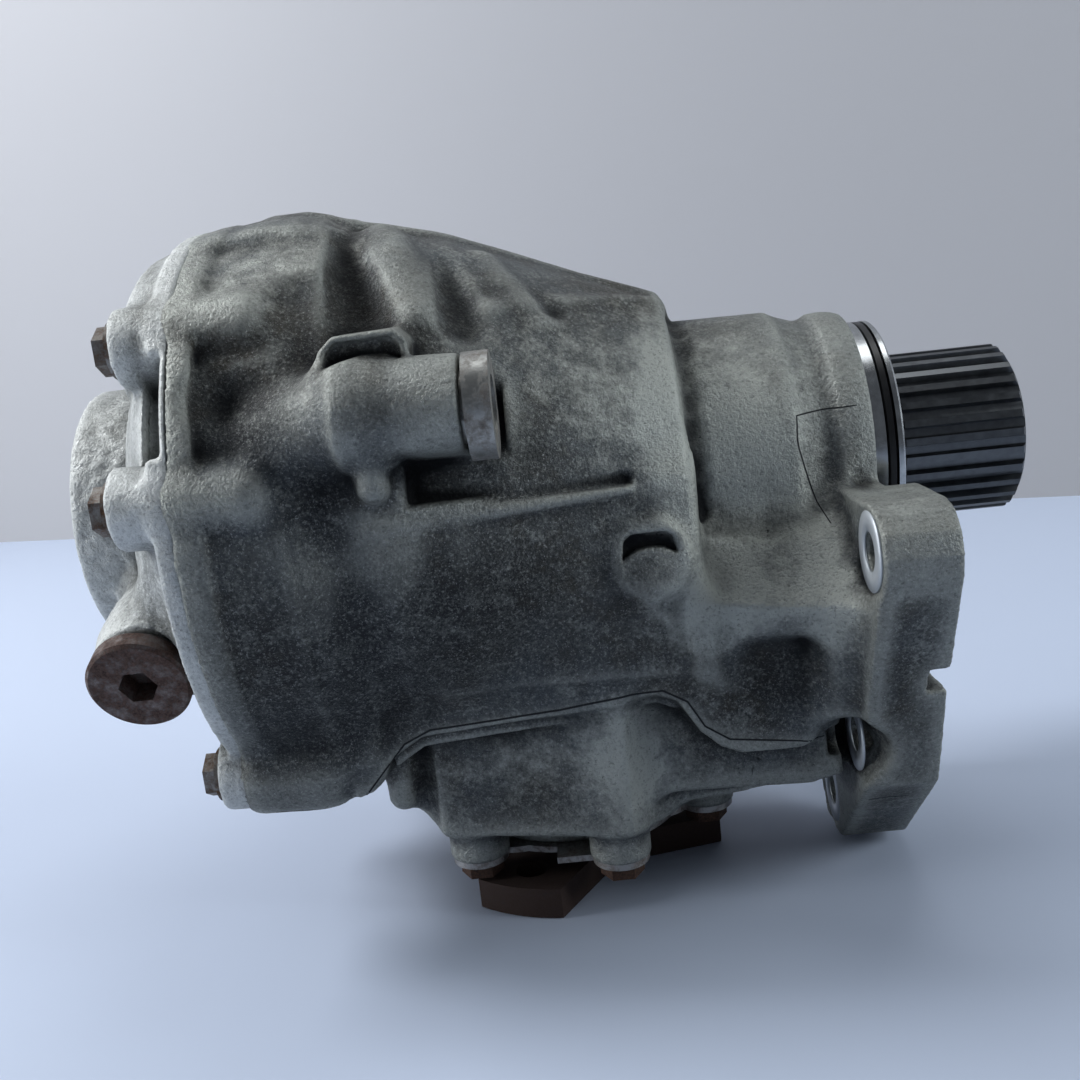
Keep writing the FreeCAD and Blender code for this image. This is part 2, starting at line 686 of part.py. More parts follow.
def web_pocket():
    """The back of the web is open, as a die-cast wall is."""
    return web_block(WEB_FRONT_Y + WEB_WALL, WEB_WALL, CONE_END_X + 14, FLANGE_SEAT_X - WEB_WALL)


def case_gussets():
    """Sloping webs from the drum to the tower, left, and a floor from the tower to the flange."""
    left = [(GUSSET_START_X, GUSSET_HIGH_Z), (GUSSET_KNEE_X, GUSSET_LOW_Z), (GUSSET_END_X, TOWER_FACE_Z),
            (GUSSET_END_X, TOWER_TOP_Z - CASE_WALL), (GUSSET_START_X, TOWER_TOP_Z - CASE_WALL)]
    far = FLANGE_SEAT_X + 1
    floor = [(FLOOR_START_X, GUSSET_LOW_Z), (far, GUSSET_LOW_Z + FLOOR_RISE), (far, FLOOR_FAR_TOP_Z), (FLOOR_START_X, FLOOR_TOP_Z)]
    return [standing_plate(left, GUSSET_FRONT_Y, GUSSET_WIDTH), standing_plate(floor, FLOOR_FRONT_Y, WEB_WALL),
            standing_plate(floor, FLOOR_BACK_Y, WEB_WALL)]


def standing_plate(outline, front, thickness):
    """Plate with an XZ outline, from its front backwards."""
    corners = [Vector(x, front, z) for x, z in outline]
    return Part.Face(Part.makePolygon(corners + [corners[0]])).extrude(Vector(0, thickness, 0))


def arc_block(outline):
    """Block on the drum's top, turned over the sweep of the pad."""
    corners = [Vector(x, 0, AXIS_HEIGHT + r) for x, r in outline]
    block = Part.Face(Part.makePolygon(corners + [corners[0]])).revolve(MAIN_CENTRE, X_AXIS, PAD_SWEEP)
    return turned_main(block, PAD_END_ANGLE)


def case_pad():
    end = DRUM_END_X + CASE_WALL
    return arc_block([(COVER_JOINT_X, DRUM_JOINT_RADIUS - 3), (COVER_JOINT_X, PAD_RADIUS - 3), (COVER_JOINT_X + 10, PAD_RADIUS),
                      (DRUM_END_X, PAD_RADIUS), (end, PAD_RADIUS - 3), (end, cone_radius(end) - 3)])


def cover_pad():
    """The pad goes on over the cover and falls to its wall."""
    root = COVER_BOSS_ROOT_X + 1.5
    return arc_block([(COVER_JOINT_X, COVER_BODY_RADIUS), (COVER_JOINT_X, PAD_RADIUS - 3), (COVER_JOINT_X - 4, PAD_RADIUS - 4),
                      (COVER_BOLT_SEAT_X + 1.5, COVER_RIM_RADIUS - 1), (root, COVER_BODY_RADIUS + 2), (root, COVER_BOSS_RADIUS + 6)])


def ear_links(start, end, radius):
    """Metal between the drum and the bolt boss that stands off it."""
    y, z = polar_main((EAR_BOLT_RADIUS + DRUM_JOINT_RADIUS - radius) / 2, EAR_BOLT_ANGLE)
    return Part.makeCylinder(radius * 0.9, end - start, Vector(start, y, z), X_AXIS)


def tube_boss():
    start = Vector(TUBE_BOSS_START_X, TUBE_BOSS_Y, TUBE_BOSS_Z)
    return rod(start, X_AXIS, TUBE_BOSS_RADIUS, TUBE_BOSS_END_X - TUBE_BOSS_START_X)


def case_cavity():
    """Everything the turned pieces need inside the output axis."""
    wall = CASE_WALL
    shoulder = RIGHT_BEARING_OUTER - CUP_SHOULDER
    bearing_end = RIGHT_BEARING_X + RIGHT_BEARING_WIDTH
    outline = [(COVER_JOINT_X - 1, 0), (COVER_JOINT_X - 1, DRUM_JOINT_RADIUS - wall),
               (DRUM_END_X, DRUM_RADIUS - wall), (SHOULDER_X, SHOULDER_RADIUS - wall), (SHOULDER_X + 8, SHOULDER_RADIUS - wall - 11),
               (RIGHT_BEARING_X - 6, cone_radius(RIGHT_BEARING_X - 6) - wall - 1.5),
               (RIGHT_BEARING_X - 1, RIGHT_BEARING_OUTER + 4), (RIGHT_BEARING_X - 1, RIGHT_BEARING_OUTER),
               (bearing_end, RIGHT_BEARING_OUTER), (bearing_end, shoulder),
               (SHAFT_BEARING_X, SHAFT_BEARING_OUTER - CUP_SHOULDER), (SHAFT_BEARING_X, SHAFT_BEARING_OUTER),
               (NECK_END_X + 1, SHAFT_BEARING_OUTER), (NECK_END_X + 1, 0)]
    return revolved_x(outline)


def circlip_groove_x():
    return SHAFT_BEARING_X + SHAFT_BEARING_WIDTH


def case_cuts():
    cuts = [case_cavity()]
    groove = circlip_groove_x()
    cuts.append(disc_x(groove, groove + CIRCLIP_THICKNESS, SHAFT_BEARING_OUTER + CIRCLIP_DEPTH))
    cuts.append(disc_z(HEAD_BEARING_Z, TOWER_TOP_Z + 12, HEAD_BEARING_OUTER))
    cuts.append(disc_z(TAIL_BEARING_TOP_Z - 1, HEAD_BEARING_Z + 1, TAIL_BEARING_OUTER - CUP_SHOULDER))
    cuts.append(disc_z(TAIL_BEARING_Z, TAIL_BEARING_TOP_Z, TAIL_BEARING_OUTER))
    cuts.append(disc_z(PLATE_TOP_Z - 1, TAIL_BEARING_Z + 1, PINION_SEAL_OUTER))
    for x, y in tower_bolt_places():
        cuts.append(Part.makeCylinder(M8_RADIUS, TOWER_BOLT_LENGTH, Vector(x, y, PLATE_TOP_Z - 1)))
    for seat in cover_bolt_seats():
        cuts.append(rod(seat, X_AXIS, M8_RADIUS, COVER_BOLT_LENGTH + 2))
    for y, z in dowel_places():
        cuts.append(Part.makeCylinder(DOWEL_RADIUS, DOWEL_LENGTH / 2 + 1, Vector(COVER_JOINT_X - 1, y, z), X_AXIS))
    cuts.append(web_pocket())
    cuts += flange_holes()
    cuts.append(disc_x(NECK_END_X, FLANGE_FACE_X + 1, COLLAR_ROOM_RADIUS))
    cuts.append(Part.makeBox(NOTCH_DEPTH + 1, 40, NOTCH_WIDTH, Vector(FLANGE_FACE_X - NOTCH_DEPTH, UPPER_FRONT_Y - 20, NOTCH_Z)))
    core = Vector(TUBE_BOSS_END_X, TUBE_BOSS_Y, TUBE_BOSS_Z)
    cuts.append(rod(core - X_AXIS * CORE_BORE_DEPTH, X_AXIS, CORE_BORE_RADIUS, CORE_BORE_DEPTH + 1))
    cuts.append(rod(core, X_AXIS, CORE_PLUG_RADIUS + CORE_RELIEF, CORE_PLUG_LENGTH + 4))
    seat, out = drain_frame()
    cuts.append(rod(seat - out * 20, out, DRAIN_THREAD_RADIUS, 30))
    cuts.append(rod(seat, out, DRAIN_HEAD_RADIUS + CORE_RELIEF, 2 * DRAIN_HEAD_HEIGHT))
    seat, out = breather_frame()
    cuts.append(rod(seat - out * 16, out, BREATHER_RADIUS * 0.6, 26))
    return cuts


def flange_holes():
    holes = []
    for y, z in flange_hole_places():
        start = Vector(FLANGE_SEAT_X - 2, y, z)
        holes.append(rod(start, X_AXIS, FLANGE_HOLE_RADIUS, FLANGE_FACE_X - FLANGE_SEAT_X + 4))
        spot = Vector(FLANGE_SEAT_X - 14, y, z)
        holes.append(rod(spot, X_AXIS, FLANGE_SPOT_RADIUS, 14 + FLANGE_SPOT_DEPTH))
    return holes


def flange_hole_places():
    return [(UPPER_FRONT_Y, UPPER_HOLE_Z), (UPPER_REAR_Y, UPPER_HOLE_Z), (MIDDLE_FRONT_Y, MIDDLE_HOLE_Z),
            (MIDDLE_REAR_Y, MIDDLE_HOLE_Z), (LOWER_HOLE_Y, LOWER_HOLE_Z)]


def dowel_places():
    first = COVER_BOLT_FIRST + 18
    middle = (JOINT_RIB_RADIUS + pilot_radius()) / 2
    return [polar_main(middle, first + 36), polar_main(middle, first + 180)]


def boss_on(seat, out, radius, depth):
    return rod(seat - out * depth, out, radius, depth)


def main_case():
    parts = case_ridges() + case_bolt_bosses() + case_tower() + [mounting_flange()] + case_web() + case_gussets()
    parts += [tube_boss(), case_pad()]
    seat, out = drain_frame()
    parts.append(boss_on(seat, out, DRAIN_HEAD_RADIUS + 2, 12))
    seat, out = breather_frame()
    parts.append(boss_on(seat, out, BREATHER_RADIUS + 3, 8))
    body = case_drum().multiFuse(parts).removeSplitter()
    return body.cut(case_cuts())


def side_cover():
    """Left cover: rim and bolt bosses at the joint, a turned wall and a round boss with the bearing seat."""
    rim = COVER_JOINT_X - JOINT_RIB_WIDTH
    bearing_end = LEFT_BEARING_X + LEFT_BEARING_WIDTH
    outer = [(COVER_JOINT_X, 0), (COVER_JOINT_X, JOINT_RIB_RADIUS), (rim, JOINT_RIB_RADIUS), (rim - 1.5, COVER_RIM_RADIUS - 3),
             (rim - 9, COVER_BODY_RADIUS), (COVER_BOSS_ROOT_X + 2, COVER_BOSS_RADIUS + 9),
             (COVER_BOSS_ROOT_X, COVER_BOSS_RADIUS), (COVER_END_X + 1.5, COVER_BOSS_RADIUS), (COVER_END_X, COVER_BOSS_RADIUS - 1.5),
             (COVER_END_X, 0)]
    parts = [pilot_ring()]
    for seat in cover_bolt_seats():
        parts.append(rod(seat, X_AXIS, BOSS_RADIUS - 1, COVER_JOINT_X - seat.x))
    parts.append(ear_links(EAR_SEAT_X + 1, COVER_JOINT_X, BOSS_RADIUS - 1))
    parts.append(cover_pad())
    seat, out = filler_frame()
    neck = Part.makeCone(FILLER_NECK_ROOT_RADIUS, FILLER_NECK_RADIUS, FILLER_NECK_LENGTH, seat - out * FILLER_NECK_LENGTH, out)
    parts.append(neck)
    parts.append(boss_on(seat, out, FILLER_NECK_RADIUS, 5))
    body = revolved_x(outer).multiFuse(parts)
    inner = [(COVER_JOINT_X + PILOT_DEPTH + 1, 0), (COVER_JOINT_X + PILOT_DEPTH + 1, pilot_radius() - PILOT_WALL),
             (COVER_JOINT_X - 2, pilot_radius() - PILOT_WALL), (rim - 7, COVER_BODY_RADIUS - COVER_WALL),
             (bearing_end + 2, LEFT_BEARING_OUTER + 3), (bearing_end + 2, LEFT_BEARING_OUTER), (left_seat_x(), LEFT_BEARING_OUTER),
             (left_seat_x(), LEFT_BEARING_OUTER - CUP_SHOULDER), (COVER_END_X + LEFT_SEAL_WIDTH, LEFT_BEARING_OUTER - CUP_SHOULDER),
             (COVER_END_X + LEFT_SEAL_WIDTH, LEFT_SEAL_OUTER), (COVER_END_X - 1, LEFT_SEAL_OUTER), (COVER_END_X - 1, 0)]
    cuts = [revolved_x(inner), rod(seat - out * FILLER_BORE_DEPTH, out, FILLER_THREAD_RADIUS, FILLER_BORE_DEPTH + 1)]
    cuts.append(rod(seat, out, FILLER_HEAD_RADIUS + CORE_RELIEF, FILLER_NECK_LENGTH))
    passage = seat - out * (FILLER_BORE_DEPTH - 1.35 * FILLER_PASSAGE_RADIUS)
    cuts.append(rod(passage, X_AXIS, FILLER_PASSAGE_RADIUS, bearing_end - FILLER_X + 2 * FILLER_PASSAGE_RADIUS))
    for bolt in cover_bolt_seats():
        cuts.append(rod(bolt - X_AXIS * 12, X_AXIS, M8_RADIUS, 40))
        cuts.append(rod(bolt - X_AXIS * 12, X_AXIS, M8_FLANGE_RADIUS + OPEN_GAP, 12))
    for y, z in dowel_places():
        cuts.append(Part.makeCylinder(DOWEL_RADIUS, DOWEL_LENGTH + 1, Vector(COVER_JOINT_X - DOWEL_LENGTH / 2, y, z), X_AXIS))
    cuts += cover_windows()
    return body.cut(cuts).removeSplitter()


def pilot_radius():
    """Bore of the case at the joint, which the cover's pilot ring fits."""
    return DRUM_JOINT_RADIUS - CASE_WALL - RUNNING_GAP


def pilot_ring():
    return ring_x(COVER_JOINT_X - 2, COVER_JOINT_X + PILOT_DEPTH, pilot_radius(), pilot_radius() - PILOT_WALL)


def left_seat_x():
    """Face that the shim of the left bearing lies on."""
    return LEFT_BEARING_X - LEFT_SHIM


def cover_windows():
    """Pockets in the rim of the cover, between the bolt bosses."""
    windows = []
    half = 180.0 / COVER_BOLT_COUNT
    sweep = 2 * half - 2 * math.degrees(math.asin((BOSS_RADIUS + 3) / COVER_BOLT_CIRCLE))
    for angle in (COVER_BOLT_FIRST + half, COVER_BOLT_FIRST + 9 * half):
        section = [Vector(COVER_JOINT_X - JOINT_RIB_WIDTH - 8, 0, AXIS_HEIGHT + COVER_BODY_RADIUS + 6),
                   Vector(COVER_JOINT_X - JOINT_RIB_WIDTH + 2.5, 0, AXIS_HEIGHT + COVER_BODY_RADIUS + 6),
                   Vector(COVER_JOINT_X - JOINT_RIB_WIDTH + 2.5, 0, AXIS_HEIGHT + COVER_RIM_RADIUS - 1),
                   Vector(COVER_JOINT_X - JOINT_RIB_WIDTH - 8, 0, AXIS_HEIGHT + COVER_RIM_RADIUS - 1)]
        window = Part.Face(Part.makePolygon(section + [section[0]])).revolve(MAIN_CENTRE, X_AXIS, sweep)
        window.rotate(MAIN_CENTRE, X_AXIS, -sweep / 2)
        windows.append(turned_main(window, angle))
    return windows


def cover_bolts():
    bolts = []
    for seat in cover_bolt_seats():
        bolts.append(hex_bolt(seat, (-1, 0, 0), M8_RADIUS, COVER_BOLT_LENGTH, M8_ACROSS_FLATS,
                              M8_HEAD_HEIGHT, M8_FLANGE_RADIUS, M8_FLANGE_HEIGHT))
    return Part.makeCompound(bolts)


def joint_dowels():
    dowels = []
    for y, z in dowel_places():
        dowels.append(Part.makeCylinder(DOWEL_RADIUS, DOWEL_LENGTH, Vector(COVER_JOINT_X - DOWEL_LENGTH / 2, y, z), X_AXIS))
    return Part.makeCompound(dowels)


def gasket(seat, out, outer, inner):
    return rod(seat, out, outer, GASKET_HEIGHT).cut(rod(seat - out, out, inner, GASKET_HEIGHT + 2))


def filler_gasket():
    seat, out = filler_frame()
    return gasket(seat, out, FILLER_HEAD_RADIUS - 1, FILLER_THREAD_RADIUS)


def filler_plug():
    """Screw plug with a hexagon socket, a round chamfered head and its threaded shank."""
    seat, out = filler_frame()
    face = seat + out * GASKET_HEIGHT
    head = rod(face, out, FILLER_HEAD_RADIUS, FILLER_HEAD_HEIGHT)
    rim = [e for e in head.Edges if e.Curve.TypeId == "Part::GeomCircle"]
    head = head.makeChamfer(1.0, rim[:1])
    shank = rod(face - out * (FILLER_THREAD_LENGTH + GASKET_HEIGHT), out, FILLER_THREAD_RADIUS, FILLER_THREAD_LENGTH + GASKET_HEIGHT)
    socket = hexagon(face - out * 2, out, FILLER_SOCKET, FILLER_HEAD_HEIGHT + 3)
    return head.fuse(shank).removeSplitter().cut(socket)


def drain_gasket():
    seat, out = drain_frame()
    return gasket(seat, out, DRAIN_HEAD_RADIUS - 1, DRAIN_THREAD_RADIUS)


def drain_plug():
    seat, out = drain_frame()
    face = seat + out * GASKET_HEIGHT
    return hex_bolt(face, out, DRAIN_THREAD_RADIUS, CASE_WALL + 4, 1.5 * DRAIN_HEAD_RADIUS, DRAIN_HEAD_HEIGHT + 2,
                    DRAIN_HEAD_RADIUS, 2.0)


def breather():
    """Cap on a short stem that vents the case."""
    seat, out = breather_frame()
    stem = rod(seat - out * 6, out, BREATHER_RADIUS * 0.6, 10)
    cap = rod(seat + out * 3, out, BREATHER_RADIUS, BREATHER_HEIGHT - 4)
    return stem.fuse(cap).removeSplitter()


def core_plug():
    """Steel cup pressed in the end of the tube boss, with a rim over its edge."""
    start = Vector(TUBE_BOSS_END_X, TUBE_BOSS_Y, TUBE_BOSS_Z)
    rim = rod(start, X_AXIS, CORE_PLUG_RADIUS, CORE_PLUG_LENGTH)
    cup = rod(start - X_AXIS * (CORE_BORE_DEPTH - 2), X_AXIS, CORE_BORE_RADIUS, CORE_BORE_DEPTH - 2)
    hollow = rod(start - X_AXIS * (CORE_BORE_DEPTH - 4), X_AXIS, CORE_BORE_RADIUS - 1.6, CORE_BORE_DEPTH + CORE_PLUG_LENGTH)
    return rim.fuse(cup).cut(hollow).removeSplitter()


def seal_carrier():
    """Machined spigot: pilots the mating housing, carries the O-ring outside and the shaft seal inside."""
    groove_half = O_RING_SECTION / 2 + 0.2
    neck_seat = NECK_END_X - 6
    profile = [(neck_seat, RIGHT_SEAL_RADIUS - CUP_SHOULDER + 1), (neck_seat, SHAFT_BEARING_OUTER), (NECK_END_X, SHAFT_BEARING_OUTER),
               (NECK_END_X, SPIGOT_RADIUS), (O_RING_X - groove_half, SPIGOT_RADIUS),
               (O_RING_X - groove_half, SPIGOT_RADIUS - O_RING_GROOVE), (O_RING_X + groove_half, SPIGOT_RADIUS - O_RING_GROOVE),
               (O_RING_X + groove_half, SPIGOT_RADIUS), (SPIGOT_END_X - 0.6, SPIGOT_RADIUS), (SPIGOT_END_X, SPIGOT_RADIUS - 0.6),
               (SPIGOT_END_X, RIGHT_SEAL_RADIUS), (RIGHT_SEAL_X, RIGHT_SEAL_RADIUS),
               (RIGHT_SEAL_X, RIGHT_SEAL_RADIUS - CUP_SHOULDER + 1)]
    return revolved_x(profile)


def spigot_o_ring():
    """Rubber ring, squeezed flush with the spigot."""
    bottom = SPIGOT_RADIUS - O_RING_GROOVE
    half = O_RING_SECTION / 2
    middle = (bottom + SPIGOT_RADIUS) / 2
    profile = [(O_RING_X - half * 0.6, bottom), (O_RING_X + half * 0.6, bottom), (O_RING_X + half, middle),
               (O_RING_X + half * 0.6, SPIGOT_RADIUS - 0.1), (O_RING_X - half * 0.6, SPIGOT_RADIUS - 0.1), (O_RING_X - half, middle)]
    return revolved_x(profile)


def right_seal():
    return lip_seal(RIGHT_SEAL_X, RIGHT_SEAL_WIDTH, RIGHT_SEAL_RADIUS, SEAL_JOURNAL_RADIUS + RUNNING_GAP, "x")


def left_seal():
    return lip_seal(COVER_END_X + LEFT_SEAL_WIDTH, -LEFT_SEAL_WIDTH + 0.3, LEFT_SEAL_OUTER, LEFT_SEAL_INNER, "x")


def pinion_seal():
    return lip_seal(TAIL_BEARING_Z - 1, -PINION_SEAL_WIDTH, PINION_SEAL_OUTER, HUB_RADIUS + RUNNING_GAP, "z")


def ball_groove(radius):
    middle = SHAFT_BEARING_X + SHAFT_BEARING_WIDTH / 2
    return Part.makeTorus(radius, BALL_RADIUS + ROLLER_GAP, Vector(middle, 0, AXIS_HEIGHT), X_AXIS)


def ball_circle():
    return (SHAFT_BEARING_OUTER + SHAFT_BEARING_INNER) / 2


def shaft_bearing_outer():
    end = SHAFT_BEARING_X + SHAFT_BEARING_WIDTH
    return ring_x(SHAFT_BEARING_X, end, SHAFT_BEARING_OUTER, ball_circle() + 1.8).cut(ball_groove(ball_circle()))


def shaft_bearing_inner():
    end = SHAFT_BEARING_X + SHAFT_BEARING_WIDTH
    return ring_x(SHAFT_BEARING_X, end, ball_circle() - 1.8, SHAFT_BEARING_INNER).cut(ball_groove(ball_circle()))


def shaft_bearing_balls():
    balls = []
    middle = SHAFT_BEARING_X + SHAFT_BEARING_WIDTH / 2
    for k in range(BALL_COUNT):
        turn = 2 * math.pi * k / BALL_COUNT
        place = Vector(middle, ball_circle() * math.sin(turn), AXIS_HEIGHT + ball_circle() * math.cos(turn))
        balls.append(Part.makeSphere(BALL_RADIUS, place))
    return Part.makeCompound(balls)


def open_ring(start, thickness, outer, inner, gap):
    """Circlip: a flat ring with a gap and a pair of eyes."""
    ring = ring_x(start, start + thickness, outer, inner)
    slot = Part.makeBox(thickness + 2, gap, outer, Vector(start - 1, -gap / 2, AXIS_HEIGHT))
    return ring.cut(slot)


def neck_circlip():
    outer = SHAFT_BEARING_OUTER + CIRCLIP_DEPTH
    return open_ring(circlip_groove_x(), CIRCLIP_THICKNESS, outer, SHAFT_BEARING_OUTER - 2.5, 8.0)


def shaft_circlip():
    return open_ring(SHAFT_BEARING_X - CIRCLIP_THICKNESS, CIRCLIP_THICKNESS, SHAFT_BEARING_INNER + 2.0,
                     SHAFT_BEARING_INNER - CIRCLIP_DEPTH, 8.0)


def output_shaft():
    """Stepped shaft from the right side gear through the neck to its straight splines."""
    clip = SHAFT_BEARING_X - CIRCLIP_THICKNESS
    bearing_end = SHAFT_BEARING_X + SHAFT_BEARING_WIDTH
    root = SPLINE_RADIUS - SPLINE_DEPTH
    outline = [(shaft_inner_x(), 0), (shaft_inner_x(), SHAFT_RADIUS), (carrier_end_x() + 2, SHAFT_RADIUS),
               (carrier_end_x() + 5, SHAFT_BEARING_INNER), (clip, SHAFT_BEARING_INNER), (clip, SHAFT_BEARING_INNER - CIRCLIP_DEPTH),
               (SHAFT_BEARING_X, SHAFT_BEARING_INNER - CIRCLIP_DEPTH), (SHAFT_BEARING_X, SHAFT_BEARING_INNER),
               (bearing_end, SHAFT_BEARING_INNER), (bearing_end, SEAL_JOURNAL_RADIUS), (SPLINE_START_X - 3, SEAL_JOURNAL_RADIUS),
               (SPLINE_START_X - 1, root), (SPLINE_END_X, root), (SPLINE_END_X, SHAFT_BORE_RADIUS + 1.5),
               (SPLINE_END_X - 1.5, SHAFT_BORE_RADIUS), (SPLINE_END_X - SHAFT_BORE_DEPTH, SHAFT_BORE_RADIUS),
               (SPLINE_END_X - SHAFT_BORE_DEPTH - 6, 0)]
    teeth = star(SPLINE_RADIUS, SPLINE_DEPTH + 0.5, SPLINE_TEETH, SPLINE_START_X - 1, SPLINE_END_X)
    teeth.translate(MAIN_CENTRE)
    chamfer = revolved_x([(SPLINE_START_X - 2, 0), (SPLINE_START_X - 2, root - 1), (SPLINE_START_X + 1, SPLINE_RADIUS + 0.5),
                          (SPLINE_END_X - 1.6, SPLINE_RADIUS + 0.5), (SPLINE_END_X + 0.5, root - 1), (SPLINE_END_X + 0.5, 0)])
    teeth = teeth.common(chamfer)
    bore = disc_x(SPLINE_END_X - SHAFT_BORE_DEPTH, SPLINE_END_X + 1, root - 2)
    return revolved_x(outline).fuse(teeth.cut(bore)).removeSplitter()


def shaft_inner_x():
    """Inner end of the output shaft, flush with the mouth of the right side gear."""
    return DIFF_X + DIFF_SPIDER_RADIUS - 2


def carrier_end_x():
    return RIGHT_BEARING_X + RIGHT_BEARING_WIDTH + 2


def ring_gear():
    """Crown wheel, cut as a straight bevel gear whose apex is where the two axes meet."""
    sin_r = math.cos(RATIO_ANGLE)
    cos_r = math.sin(RATIO_ANGLE)
    toe = (CONE_DISTANCE - GEAR_FACE_WIDTH) / CONE_DISTANCE
    heel_x = -CONE_DISTANCE * cos_r
    tip = (heel_x + RING_ADDENDUM * sin_r, RING_PITCH_RADIUS + RING_ADDENDUM * cos_r)
    inner_tip = (tip[0] * toe, tip[1] * toe)
    profile = [(RING_BACK_X, RING_BORE_RADIUS), (RING_BACK_X, RING_RIM_RADIUS), (tip[0] - 4, RING_RIM_RADIUS), tip, inner_tip,
               (inner_tip[0] - 3, RING_BORE_RADIUS)]
    blank = revolved(profile, ORIGIN, "z")
    pitch = 2 * math.pi * RING_PITCH_RADIUS / RING_TEETH
    space = pitch - pitch * (1 - PINION_TOOTH_SHARE) + GEAR_BACKLASH / 2
    cutter = bevel_space(CONE_DISTANCE, RING_PITCH_RADIUS, RING_TEETH, space, RING_ADDENDUM, PINION_ADDENDUM + TOOTH_CLEARANCE,
                         GEAR_PRESSURE_ANGLE, GEAR_FACE_WIDTH)
    gear = bevel_gear(blank, cutter, RING_TEETH, 0)
    threads = []
    for x, y in ring_bolt_places():
        threads.append(Part.makeCylinder(RING_BOLT_RADIUS, RING_BOLT_LENGTH - CAGE_FLANGE_WIDTH + 1, Vector(x, y, RING_BACK_X - 1)))
    gear = gear.cut(threads)
    return to_main_axis(gear)


def ring_bolt_places():
    places = []
    for k in range(RING_BOLT_COUNT):
        turn = 2 * math.pi * (k + 0.5) / RING_BOLT_COUNT
        places.append((RING_BOLT_CIRCLE * math.cos(turn), RING_BOLT_CIRCLE * math.sin(turn)))
    return places


def to_main_axis(shape):
    """Turns a shape drawn about Z, apex at the origin, onto the output axis; its -X side comes to point down."""
    copy = shape.copy()
    copy.rotate(ORIGIN, Vector(0, 1, 0), 90)
    copy.rotate(ORIGIN, X_AXIS, 180)
    copy.translate(MAIN_CENTRE)
    return copy


def bevel_pinion():
    """Pinion with its shaft: bearing seats, splines for the flange and a threaded end."""
    sin_p = math.sin(RATIO_ANGLE)
    cos_p = math.cos(RATIO_ANGLE)
    pitch_radius = CONE_DISTANCE * sin_p
    toe = (CONE_DISTANCE - GEAR_FACE_WIDTH) / CONE_DISTANCE
    heel_z = -CONE_DISTANCE * cos_p
    tip = (heel_z + PINION_ADDENDUM * sin_p, pitch_radius + PINION_ADDENDUM * cos_p)
    inner_tip = (tip[0] * toe, tip[1] * toe)
    back = HEAD_BEARING_TOP_Z - AXIS_HEIGHT
    profile = [(back, 0), (back, HEAD_BEARING_INNER + 3), (back + 1, pitch_radius - 1), tip, inner_tip, (inner_tip[0] - 1.5, 6),
               (inner_tip[0] - 1.5, 0)]
    pitch = 2 * math.pi * pitch_radius / PINION_TEETH
    space = pitch - pitch * PINION_TOOTH_SHARE + GEAR_BACKLASH / 2
    cutter = bevel_space(CONE_DISTANCE, pitch_radius, PINION_TEETH, space, PINION_ADDENDUM, RING_ADDENDUM + TOOTH_CLEARANCE,
                         GEAR_PRESSURE_ANGLE, GEAR_FACE_WIDTH)
    head = bevel_gear(revolved(profile, ORIGIN, "z"), cutter, PINION_TEETH, 180.0 / PINION_TEETH)
    head.translate(MAIN_CENTRE)
    flange_top = hub_end_z()
    shaft = revolved_z([(HEAD_BEARING_TOP_Z, 0), (HEAD_BEARING_TOP_Z, HEAD_BEARING_INNER), (HEAD_BEARING_Z, HEAD_BEARING_INNER),
                        (HEAD_BEARING_Z, TAIL_BEARING_INNER), (flange_top, TAIL_BEARING_INNER), (flange_top, PINION_SPLINE_RADIUS),
                        (RECESS_DEPTH, PINION_SPLINE_RADIUS), (RECESS_DEPTH, PINION_THREAD_RADIUS),
                        (PINION_END_Z + 1, PINION_THREAD_RADIUS), (PINION_END_Z, PINION_THREAD_RADIUS - 1), (PINION_END_Z, 0)])
    return head.fuse(shaft).removeSplitter()


def hub_end_z():
    return TAIL_BEARING_Z


def crush_sleeve():
    """Thin sleeve that sets the preload between the two pinion bearings."""
    inner = TAIL_BEARING_INNER
    outer = inner + SLEEVE_WALL
    middle = (TAIL_BEARING_TOP_Z + HEAD_BEARING_Z) / 2
    return revolved_z([(TAIL_BEARING_TOP_Z, inner), (TAIL_BEARING_TOP_Z, outer), (middle, outer + 1), (HEAD_BEARING_Z, outer),
                       (HEAD_BEARING_Z, inner), (middle, inner + 1)])


def pinion_nut():
    nut = hexagon(Vector(0, 0, RECESS_DEPTH - NUT_HEIGHT), Z_AXIS, NUT_ACROSS_FLATS, NUT_HEIGHT - 2)
    collar = disc_z(RECESS_DEPTH - 2, RECESS_DEPTH, NUT_ACROSS_FLATS / 2 + 2)
    return nut.fuse(collar).cut(disc_z(0, RECESS_DEPTH + 1, PINION_THREAD_RADIUS)).removeSplitter()


